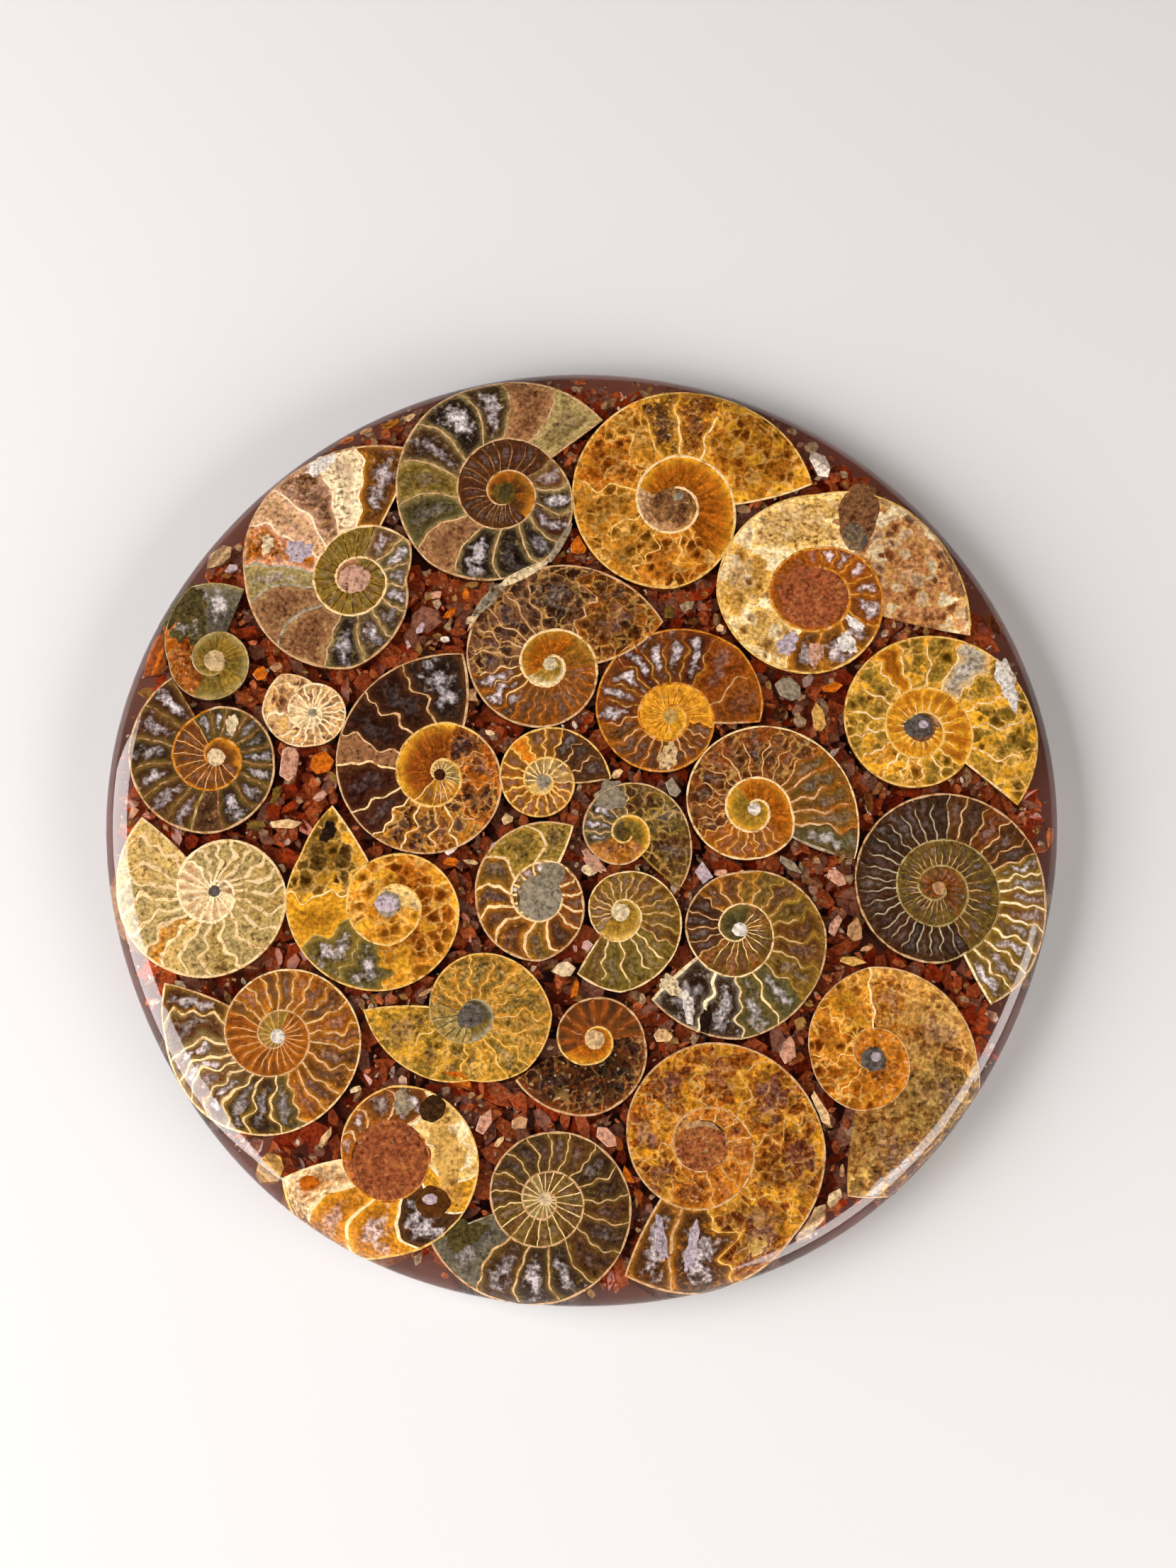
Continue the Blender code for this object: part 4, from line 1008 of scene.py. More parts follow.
@dataclass(frozen=True)
class ResinFinish:
    """Clear casting resin dyed dark red-brown: what light it takes away grows with depth."""

    name: str = "resin"
    roughness: float = 0.03
    ior: float = 1.54
    tint: Colour = (0.995, 0.42, 0.20)
    density: float = 100.0

    def make(self) -> bpy.types.Material:
        """Builds the finish.

        Returns:
            The material.
        """
        g = Graph(self.name)
        g.feed(g.shader.inputs["Base Color"], (1.0, 1.0, 1.0))
        g.feed(g.shader.inputs["Transmission Weight"], 1.0)
        g.feed(g.shader.inputs["Roughness"], self.roughness)
        g.feed(g.shader.inputs["IOR"], self.ior)
        dye = g.node("VolumeAbsorption", {"Color": self.tint, "Density": self.density})
        g.feed(g.output.inputs["Volume"], dye.outputs[0])
        return g.material


def as_object(mesh: bmesh.types.BMesh, name: str, materials: list[bpy.types.Material]) -> bpy.types.Object:
    """Turns a finished mesh into an object, and frees the mesh.

    Args:
        mesh: the mesh.
        name: the object's name.
        materials: its materials, in the order that its faces number them.

    Returns:
        The object, linked to the scene.
    """
    data = bpy.data.meshes.new(name)
    mesh.to_mesh(data)
    mesh.free()
    for material in materials:
        data.materials.append(material)
    made = bpy.data.objects.new(name, data)
    bpy.context.scene.collection.objects.link(made)
    return made


class Sheet:
    """A mesh in the making, whose faces carry the colour and habit of what fills them."""

    def __init__(self, node: str = "") -> None:
        """Starts a mesh with its paint layers.

        Args:
            node: the solid that it starts as a merged copy of, or nothing for an empty mesh.
        """
        self.mesh = bmesh.new()
        if node:
            self.mesh.from_mesh(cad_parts[node].data)
            bmesh.ops.remove_doubles(self.mesh, verts=self.mesh.verts, dist=0.01 * MM)
            bmesh.ops.dissolve_limit(self.mesh, angle_limit=math.radians(1.0), verts=self.mesh.verts,
                                     edges=self.mesh.edges)
        self.chambers = self.mesh.loops.layers.uv.new("chambers")
        self.filling = self.mesh.loops.layers.float_color.new("filling")
        self.habit = self.mesh.loops.layers.float_color.new("habit")
        self.halo = self.mesh.loops.layers.float_color.new("halo")

    def paint(self, face: bmesh.types.BMFace, tint: Colour, grain: Grain, slot: int = 0,
              smooth: bool = True, halo: Colour | None = None) -> None:
        """Gives a face its colours, its habit and its material.

        Args:
            face: the face.
            tint: the colour of its filling.
            grain: how the filling is built up.
            slot: the number of its material.
            smooth: whether it is shaded as part of a curve.
            halo: the colour of its fringe, or nothing for a lighter shade of the filling.
        """
        face.material_index = slot
        face.smooth = smooth
        edging = (*(halo or lightened(tint)), grain.value[4])
        for loop in face.loops:
            loop[self.filling] = (*tint, FAR_FROM_WALLS)
            loop[self.halo] = edging
            loop[self.habit] = grain.value[:4]
            loop[self.chambers].uv = (0.0, 0.0)

    def grid(self, columns: int, rows: int) -> tuple[list[GridPoint], list[GridFace]]:
        """Adds a flat grid, ready to be rolled into place.

        Args:
            columns: how many faces it has along.
            rows: how many faces it has across.

        Returns:
            Its vertices as (vertex, column, row) and its faces as (face, column).
        """
        made = bmesh.ops.create_grid(self.mesh, x_segments=columns, y_segments=rows, size=0.5)["verts"]
        points = [(v, round((v.co.x + 0.5) * columns), round((v.co.y + 0.5) * rows)) for v in made]
        column_of = {v: column for v, column, _ in points}
        faces = {}
        for vertex in made:
            for face in vertex.link_faces:
                faces[face] = min(column_of[v] for v in face.verts)
        return points, list(faces.items())

    def face_up(self, faces: list[bmesh.types.BMFace]) -> None:
        """Turns the faces of an open skin towards the outside of the plate.

        Args:
            faces: the skin's faces.
        """
        turned = []
        for face in faces:
            face.normal_update()
            middle = face.calc_center_median()
            on_rim = middle.xy.length > PLATE.flat * MM
            out = Vector((middle.x, middle.y, 0.0)).normalized() if on_rim else Vector()
            if face.normal.dot(out * RIM_LEAN + Vector((0.0, 0.0, 1.0))) < 0.0:
                turned.append(face)
        bmesh.ops.reverse_faces(self.mesh, faces=turned)


def lightened(tint: Colour) -> Colour:
    """A paler, yellower version of a colour, for its fringes."""
    return tuple(kept * part + added for part, (kept, added) in zip(tint, PALER))


def varied(tint: Colour, chance: random.Random, much: float) -> Colour:
    """Makes a colour a little lighter or darker, and a little redder or bluer, by chance.

    Args:
        tint: the colour.
        chance: where the chances come from.
        much: the greatest change of its level, as a share.

    Returns:
        The changed colour.
    """
    level = 1.0 + chance.uniform(-much, much)
    lean = chance.uniform(-much, much) * 0.25
    return (tint[0] * level * (1.0 + lean), tint[1] * level, tint[2] * level * (1.0 - lean))


@dataclass(frozen=True)
class Line:
    """A line across a whorl: its chamber's number, its share of the way along it, if a septum follows."""

    number: int
    share: float
    septum: bool = False


@dataclass
class AmmoniteSlice:
    """One polished slice: its chambers and septa, the spiral of its shell wall, its core and its body.

    Lengths are in millimetres. rows is how many faces there are across a whorl, and face_length about how
    long they are. sunk is how far the solid's copy lies below the dressed face. septum_lift and wall_lift
    are how far septa and wall stand off the filling, and edge_drop is how deep the face's edge turns down.
    Within mouth_fade degrees of the mouth its slant dies away, and within mouth_end it counts as the edge.
    outer_end and outer_fade are where the wall moves in from the edge, in degrees round the mouth.
    uneven_lengths is how far a chamber's length strays from its band's, as a share. The others that end
    in uneven are how far the core, a loose patch and a round patch stray from an oval.
    """

    coil: Coil
    fill: bpy.types.Material
    shell: bpy.types.Material
    rows: int = 16
    face_length: float = 1.3
    sunk: float = 0.06
    septum_lift: float = 0.02
    wall_lift: float = 0.05
    edge_drop: float = 0.35
    mouth_fade: float = 50.0
    mouth_end: float = 8.0
    outer_end: float = 20.0
    outer_fade: float = 40.0
    uneven_lengths: float = 0.16
    core_uneven: float = 0.05
    loose_uneven: float = 0.12
    round_uneven: float = 0.03

    def __post_init__(self) -> None:
        """Seeds the slice's own chances and finds where its chambers part."""
        self.chance = random.Random(self.coil.name)
        self.first = self.coil.edge[0][0]
        self.last = self.coil.edge[-1][0]
        self.core_radius = self.coil.edge[-1][1]
        self.raised = self.coil.lift - BASE_LIFT
        self.sheet = Sheet(self.coil.name)
        self.partings = self.part_chambers()
        self.waves = [self.wave_of() for _ in self.partings]

    def reach(self, bearing: float) -> float:
        """Follows the spiral.

        Args:
            bearing: the bearing, counted on from the mouth.

        Returns:
            How far the spiral is from the middle there, in millimetres.
        """
        edge = self.coil.edge
        if bearing >= self.last:
            return self.core_radius
        (start, near), (stop, far) = next(pair for pair in zip(edge, edge[1:]) if bearing <= pair[1][0])
        return near * (far / near) ** ((bearing - start) / (stop - start))

    def covers(self, x: float, y: float, margin: float) -> bool:
        """Finds out if a place lies in the slice, or close to it.

        Args:
            x: the place's distance right of the plate's middle, in millimetres.
            y: its distance up from there.
            margin: how close to the slice counts as in it.

        Returns:
            Whether it does.
        """
        away = math.hypot(x - self.coil.x, y - self.coil.y)
        bearing = math.degrees(math.atan2(y - self.coil.y, x - self.coil.x))
        bearing += 360.0 * math.ceil((self.first - bearing) / 360.0)
        return away < self.reach(bearing) + margin

    def band_at(self, bearing: float) -> Band:
        """The band that a bearing lies in."""
        return next((band for band in self.coil.bands if bearing < band.until), self.coil.bands[-1])

    def ends_of(self, number: int) -> tuple[float, float]:
        """The bearings at which a chamber starts and stops."""
        return self.partings[number], self.partings[number + 1]

    def band_of(self, number: int) -> Band:
        """The band that a chamber's middle lies in."""
        return self.band_at(0.5 * sum(self.ends_of(number)))

    def part_chambers(self) -> list[float]:
        """Parts the whorls into chambers of slightly uneven length.

        Returns:
            The bearings at which one chamber ends and the next begins, the first and last among them.
        """
        partings, bearing = [self.first], self.first
        while bearing < self.last:
            uneven = self.chance.uniform(1.0 - self.uneven_lengths, 1.0 + self.uneven_lengths)
            bearing += 360.0 / self.band_at(bearing).chambers * uneven
            partings.append(min(bearing, self.last))
        return partings

    def wave_of(self) -> tuple[float, ...]:
        """The phases and the strengths of one septum's long and short waves."""
        bounds = ((0.0, 2.0 * math.pi), (0.0, 2.0 * math.pi), (0.4, 1.0), (0.2, 0.7))
        return tuple(self.chance.uniform(least, greatest) for least, greatest in bounds)

    def bend(self, parting: int, across: float) -> float:
        """Works out how far a septum strays from straight.

        Args:
            parting: the septum's number.
            across: the share of the way across the whorl.

        Returns:
            How far it strays, in chamber lengths.
        """
        if parting == 0:
            return 0.0
        band = self.band_at(self.partings[parting])
        long_phase, short_phase, long_strength, short_strength = self.waves[parting]
        wave = long_strength * math.sin(LONG_WAVE * across + long_phase)
        wave += short_strength * math.sin(SHORT_WAVE * across + short_phase)
        hold = min(1.0, 5.0 * across, 5.0 * (1.0 - across))
        arch = band.bow * 4.0 * across * (1.0 - across)
        return band.sweep * (across - 0.5) + arch + 0.75 * band.wave * wave * hold

    def spot(self, bearing: float, across: float) -> tuple[float, float]:
        """Finds a place in the whorl.

        Args:
            bearing: its bearing, counted on from the mouth.
            across: its share of the way across the whorl, from the inside.

        Returns:
            Its distances right and up, in millimetres.
        """
        inner, outer = self.reach(bearing + 360.0), self.reach(bearing)
        return self.place_at(bearing, inner + (outer - inner) * across)

    def place_at(self, bearing: float, away: float) -> tuple[float, float]:
        """The place at a bearing and a distance from the slice's middle, as millimetres right and up."""
        angle = math.radians(bearing)
        return self.coil.x + away * math.cos(angle), self.coil.y + away * math.sin(angle)

    def lines_across(self) -> list[Line]:
        """Sets out the lines across the whorl between which its faces are rolled.

        Returns:
            The lines, from the mouth to the core.
        """
        found = []
        for number in range(len(self.partings) - 1):
            start, stop = self.ends_of(number)
            length = math.radians(stop - start) * self.reach(start)
            thick = self.septum_share(number)
            if thick > 0.0:
                found.append(Line(number, 0.0, True))
            steps = min(6, max(3, round(length / self.face_length)))
            found += [Line(number, thick + (1.0 - thick) * k / steps) for k in range(steps)]
        found.append(Line(len(self.partings) - 2, 1.0))
        return found

    def septum_share(self, number: int) -> float:
        """Works out how much of a chamber's length the septum before it takes up.

        Args:
            number: the chamber's number.

        Returns:
            The septum's share of the length, or nothing where the whorl has no septa.
        """
        start, stop = self.ends_of(number)
        middle = 0.5 * (self.reach(start) + self.reach(start + 360.0))
        return min(0.4, self.band_of(number).thick / (math.radians(stop - start) * middle))

    def filling_of(self, number: int) -> tuple[Colour, Colour, Grain, Colour]:
        """Chooses what a chamber is filled with.

        Args:
            number: the chamber's number.

        Returns:
            The colours of its middle and its fringe, its habit, and the colour of the septum before it.
        """
        start, stop = self.ends_of(number)
        band = self.band_of(number)
        chosen, grain = self.chance.choice(band.tints), band.grain
        tint = tuple(0.5 * (near + far) for near, far in zip(band.tints[0].linear(), chosen.linear()))
        septum = varied(band.septum.linear(), self.chance, 0.15)
        for bearing, picked_tint, picked_grain in self.coil.picks:
            if start <= bearing < stop:
                tint, grain = picked_tint.linear(), picked_grain
        halo = varied(band.halo.linear(), self.chance, 0.1)
        return varied(tint, self.chance, 0.12), halo, grain, septum

    def roll_whorls(self) -> None:
        """Rolls a strip of chambers and septa into the spiral, from the mouth to the core.
        """
        lines = self.lines_across()
        points, faces = self.sheet.grid(len(lines) - 1, self.rows)
        slant = self.coil.mouth - 360.0 - self.first
        rim, spots = [], {}
        for vertex, column, row in points:
            line, ends_septum = lines[column], lines[column - 1].septum
            number, share, across = line.number, line.share, row / self.rows
            start, stop = self.ends_of(number)
            stray = (1.0 - share) * self.bend(number, across) + share * self.bend(number + 1, across)
            if ends_septum:
                share *= SEPTUM_TAPER - across
            bearing = start + (stop - start) * (share + stray)
            bearing += slant * (1.0 - across) * max(0.0, 1.0 - (bearing - self.first) / self.mouth_fade)
            x, y = self.spot(min(bearing, self.last), across)
            off = self.septum_lift if line.septum or ends_septum else 0.0
            vertex.co = PLATE.on_top(x, y, self.coil.lift + off)
            spots[vertex] = (number, share, across)
            if column == 0 or (row == self.rows and bearing < self.coil.mouth + self.mouth_end):
                rim.append(vertex)
        self.paint_whorls(lines, faces, spots)
        self.sheet.face_up([face for face, _ in faces])
        self.drop_edge(rim)

    def paint_whorls(self, lines: list[Line], faces: list[GridFace],
                     spots: dict[bmesh.types.BMVert, tuple[int, float, float]]) -> None:
        """Gives every chamber and every septum of the strip its own colours.

        Args:
            lines: the lines across the strip.
            faces: the strip's faces.
            spots: each vertex's chamber, share along it and share across it.
        """
        fillings = [self.filling_of(number) for number in range(len(self.partings) - 1)]
        # How strong each chamber's painted glint, a painted highlight, is.
        painted_glint_strengths = [self.chance.uniform(0.25, 1.0) for _ in fillings]
        for face, column in faces:
            number = lines[column].number
            tint, halo, grain, septum_tint = fillings[number]
            if lines[column].septum:
                self.sheet.paint(face, septum_tint, Grain.SMOOTH, 1)
                self.fade_septum(face, number, halo, spots)
                continue
            self.sheet.paint(face, tint, grain, 0, True, halo)
            for loop in face.loops:
                its_number, share, across = spots[loop.vert]
                share = 1.0 if its_number > number else share
                loop[self.sheet.filling] = (*tint, self.wall_distance(number, share, across))
                loop[self.sheet.chambers].uv = (number + min(share, 0.999), across)
                loop[self.sheet.habit].x *= painted_glint_strengths[number]

    def fade_septum(self, face: bmesh.types.BMFace, number: int, halo: Colour,
                    spots: dict[bmesh.types.BMVert, tuple[int, float, float]]) -> None:
        """Fades a septum's face into the filling's fringe where the septum ends short of the outer wall.

        Args:
            face: the septum's face, already painted.
            number: the number of the chamber after the septum.
            halo: the colour of the fringe.
            spots: each vertex's chamber, share along it and share across it.
        """
        band = self.band_at(self.partings[number] + 0.01)
        for loop in face.loops:
            faded = 0.0
            if band.to < 1.0:
                faded = min(1.0, max(0.0, (spots[loop.vert][2] - band.to) * 6.0 + 1.0))
            septum_tint = loop[self.sheet.filling][:3]
            mixed = [near + (far - near) * faded for near, far in zip(septum_tint, halo)]
            loop[self.sheet.filling] = (*mixed, 0.0)

    def wall_distance(self, number: int, share: float, across: float) -> float:
        """Works out how far a place in a chamber is from its nearest wall.

        Args:
            number: the chamber's number.
            share: the place's share of the way along the chamber.
            across: its share of the way across.

        Returns:
            The distance in millimetres, counted longer where the whorl is narrow.
        """
        start, stop = self.ends_of(number)
        inner, outer = self.reach(start + 360.0), self.reach(start)
        glow = self.band_of(number).glow
        thick = self.septum_share(number)
        closer = max(1.0, 3.4 / (outer - inner + 0.1))
        if thick == 0.0:
            return (1.0 - across) * (outer - inner) * 0.45 / glow * closer
        side = min(across, (1.0 - across) / glow) * (outer - inner)
        length = math.radians(stop - start) * (inner + (outer - inner) * across)
        return min(side, (share - thick) * length, (1.0 - share) * length) * closer

    def drop_edge(self, rim: list[bmesh.types.BMVert]) -> None:
        """Turns the slice's outer edge down into the resin, as a short wall.

        Args:
            rim: the edge's vertices.
        """
        wanted = set(rim)
        edges = [e for v in rim for e in v.link_edges if e.is_boundary and e.other_vert(v) in wanted]
        edges = list(dict.fromkeys(edges))
        made = bmesh.ops.extrude_edge_only(self.sheet.mesh, edges=edges)["geom"]
        corners = [g for g in made if isinstance(g, bmesh.types.BMVert)]
        bmesh.ops.translate(self.sheet.mesh, verts=corners, vec=(0.0, 0.0, -self.edge_drop * MM))
        for edge in edges:
            edge.smooth = False
        for face in (g for g in made if isinstance(g, bmesh.types.BMFace)):
            self.sheet.paint(face, self.coil.outer_tint.linear(), Grain.SMOOTH, 1, False)

    def coil_wall(self) -> None:
        """Lays the shell's own wall along the spiral, from the mouth to the core.
        """
        steps = max(60, round((self.last - self.first) / 3.5))
        points, faces = self.sheet.grid(steps, 2)
        thick_out, thick_in = self.coil.wall
        for vertex, column, row in points:
            share = column / steps
            bearing = self.first + (self.last - self.first) * share
            thick = thick_out + (thick_in - thick_out) * min(1.0, 1.6 * share)
            thick *= 1.0 + 0.25 * math.sin(bearing * 0.21) * math.sin(bearing * 0.083)
            past = (self.coil.mouth + self.outer_end - bearing) / self.outer_fade
            inwards = 0.5 * min(1.0, max(0.0, past))
            x, y = self.place_at(bearing, self.reach(bearing) + thick * ((row - 1) * 0.5 - inwards))
            vertex.co = PLATE.on_top(x, y, self.coil.lift + (self.wall_lift if row == 1 else 0.0))
        for face, column in faces:
            bearing = self.first + (self.last - self.first) * column / steps
            outermost = bearing < self.coil.mouth - self.outer_end
            tint = self.coil.outer_tint if outermost else self.coil.wall_tint
            self.sheet.paint(face, tint.linear(), Grain.SMOOTH, 1)
        self.sheet.face_up([face for face, _ in faces])

    def add_patch(self, patch: Patch, uneven: float) -> None:
        """Adds a low, uneven disc to the slice's face.

        Args:
            patch: its place, size and look.
            uneven: how far its edge strays from an oval, as a share of its size.
        """
        around, rings = 40, 6
        points, faces = self.sheet.grid(around, rings)
        phases = [self.chance.uniform(0.0, 6.28) for _ in range(3)]
        turn = math.radians(patch.bearing)
        for vertex, column, row in points:
            angle = 2.0 * math.pi * (column % around) / around
            strays = sum(math.sin(n * angle + phase) for n, phase in zip(PATCH_WAVES, phases))
            size = row / rings * (1.0 + uneven * strays)
            along = patch.half_length * size * math.cos(angle)
            side = patch.half_width * size * math.sin(angle)
            x = patch.x + along * math.cos(turn) - side * math.sin(turn)
            y = patch.y + along * math.sin(turn) + side * math.cos(turn)
            off = self.raised + patch.lift - (PATCH_EDGE_DROP if row == rings else 0.0)
            vertex.co = PLATE.on_top(x, y, off)
        joined = [vertex for vertex, column, row in points if row == 0 or column in (0, around)]
        bmesh.ops.remove_doubles(self.sheet.mesh, verts=joined, dist=1e-6)
        tint = varied(patch.tint.linear(), self.chance, 0.08)
        left = list({face: 0 for vertex, _, _ in points if vertex.is_valid for face in vertex.link_faces})
        for face in left:
            self.sheet.paint(face, tint, patch.grain)
        self.sheet.face_up(left)

    def clear_below_pocket(self) -> None:
        """Takes away the walls and septa that the rim's side carries down past the pocket's floor.
        """
        floor = PLATE.inlay_floor * MM
        low = [face for face in self.sheet.mesh.faces
               if face.material_index == 1 and len(face.verts) <= 4 and face.normal.z > -0.5
               and all(vertex.co.z < floor for vertex in face.verts)]
        bmesh.ops.delete(self.sheet.mesh, geom=low, context="FACES")

    def build(self) -> bpy.types.Object:
        """Makes the whole slice.

        Returns:
            The slice's object.
        """
        bmesh.ops.translate(self.sheet.mesh, verts=self.sheet.mesh.verts, vec=(0.0, 0.0, -self.sunk * MM))
        inside = self.coil.bands[0].tints[-1].linear()
        for face in self.sheet.mesh.faces:
            self.sheet.paint(face, inside, Grain.MOTTLED, 0, False)
        self.roll_whorls()
        self.coil_wall()
        tint, grain = self.coil.core
        size = self.core_radius + 0.1
        core = Patch(self.coil.x, self.coil.y, size, size, 0.0, tint, grain)
        self.add_patch(core, self.core_uneven)
        for patch in PATCHES.get(self.coil.number, ()):
            is_round = patch.lift >= ROUND_PATCH_LIFT
            self.add_patch(patch, self.round_uneven if is_round else self.loose_uneven)
        self.clear_below_pocket()
        return as_object(self.sheet.mesh, self.coil.name + "_face", [self.fill, self.shell])


@dataclass
class ResinSlab:
    """The clear body that every slice and shard is set in.

    It has steps faces round its rim and rim_steps up the rounding. Its top is flat, with a ring of faces
    at each of the distances in rings inside the rounding. An edge sharper than crease degrees stays so.
    """

    finish: bpy.types.Material
    form: PlateForm = PLATE
    steps: int = 256
    rim_steps: int = 14
    rings: tuple[float, float] = (0.3, 8.0)
    crease: float = 25.0

    def profile(self) -> list[tuple[float, float]]:
        """Draws the slab's outline from the middle of its foot to the middle of its top.

        Returns:
            The outline's points as (out, up), in millimetres.
        """
        form = self.form
        outline = [(0.0, 0.0), (form.radius - form.foot, 0.0), (form.radius, form.foot)]
        for step in range(self.rim_steps + 1):
            turn = 0.5 * math.pi * step / self.rim_steps
            outline.append((form.radius - form.round_width * (1.0 - math.cos(turn)),
                            form.thickness - form.round_drop * (1.0 - math.sin(turn))))
        outline += [(form.flat - inside, form.thickness) for inside in self.rings]
        return outline + [(0.0, form.thickness)]

    def build(self) -> bpy.types.Object:
        """Turns the profile, then eases the rim out of round.

        Returns:
            The slab's object.
        """
        mesh = bmesh.new()
        corners = [mesh.verts.new((out * MM, 0.0, up * MM)) for out, up in self.profile()]
        edges = [mesh.edges.new(pair) for pair in zip(corners, corners[1:])]
        bmesh.ops.spin(mesh, geom=corners + edges, axis=(0.0, 0.0, 1.0), cent=(0.0, 0.0, 0.0),
                       angle=2.0 * math.pi, steps=self.steps, use_merge=True)
        bmesh.ops.remove_doubles(mesh, verts=mesh.verts, dist=0.001 * MM)
        bmesh.ops.recalc_face_normals(mesh, faces=mesh.faces)
        for vertex in mesh.verts:
            ease = self.form.out_of_round(math.degrees(math.atan2(vertex.co.y, vertex.co.x)))
            vertex.co.x *= ease
            vertex.co.y *= ease
        for face in mesh.faces:
            face.smooth = True
        for edge in mesh.edges:
            edge.smooth = edge.calc_face_angle(0.0) < math.radians(self.crease)
        return as_object(mesh, "resin_body", [self.finish])


@dataclass
class ShardPiece:
    """One of the larger bits of broken shell: its solid, raised by lift and rounded by edge_round in mm."""

    name: str
    chip: Chip
    finish: bpy.types.Material
    lift: float = 0.05
    edge_round: float = 0.12

    def build(self) -> bpy.types.Object:
        """Rounds a copy of the shard's solid.

        Returns:
            The shard's object.
        """
        chance = random.Random(self.name)
        sheet = Sheet(self.name)
        bmesh.ops.bevel(sheet.mesh, geom=sheet.mesh.edges[:], affect="EDGES", offset=self.edge_round * MM,
                        offset_type="OFFSET", segments=2, profile=0.5, material=-1, clamp_overlap=True)
        bmesh.ops.translate(sheet.mesh, verts=sheet.mesh.verts, vec=(0.0, 0.0, self.lift * MM))
        tint = varied(self.chip.tint.linear(), chance, 0.1)
        for face in sheet.mesh.faces:
            sheet.paint(face, tint, self.chip.grain, 0, False)
        return as_object(sheet.mesh, self.name + "_shell", [self.finish])


@dataclass(frozen=True)
class SliverSort:
    """A sort of strewn sliver.

    length and depth are each a least and a greatest value in millimetres and a power: the higher it is,
    the more slivers are near the least. A sliver tilts up to tilt degrees either way, and its middle
    stays clear of every slice by the share clear of its length.
    """

    tints: tuple[Tint, ...]
    length: tuple[float, float, float]
    depth: tuple[float, float, float]
    tilt: float
    clear: float


def drawn(chance: random.Random, bounds: tuple[float, float, float]) -> float:
    """A length or depth by chance, from its least and greatest value and the power of its leaning."""
    least, greatest, power = bounds
    return least + (greatest - least) * chance.random() ** power


LARGE = SliverSort((CORAL, PINK, CORAL, FLAME), (2.5, 6.0, 1.0), (1.5, 6.0, 1.0), 10.0, 0.0)
SMALL = SliverSort((CREAM, CORAL, IVORY, CORAL, STRAW, PINK), (0.5, 2.8, 2.0), (0.0, 6.0, 2.2),
                   35.0, 0.35)


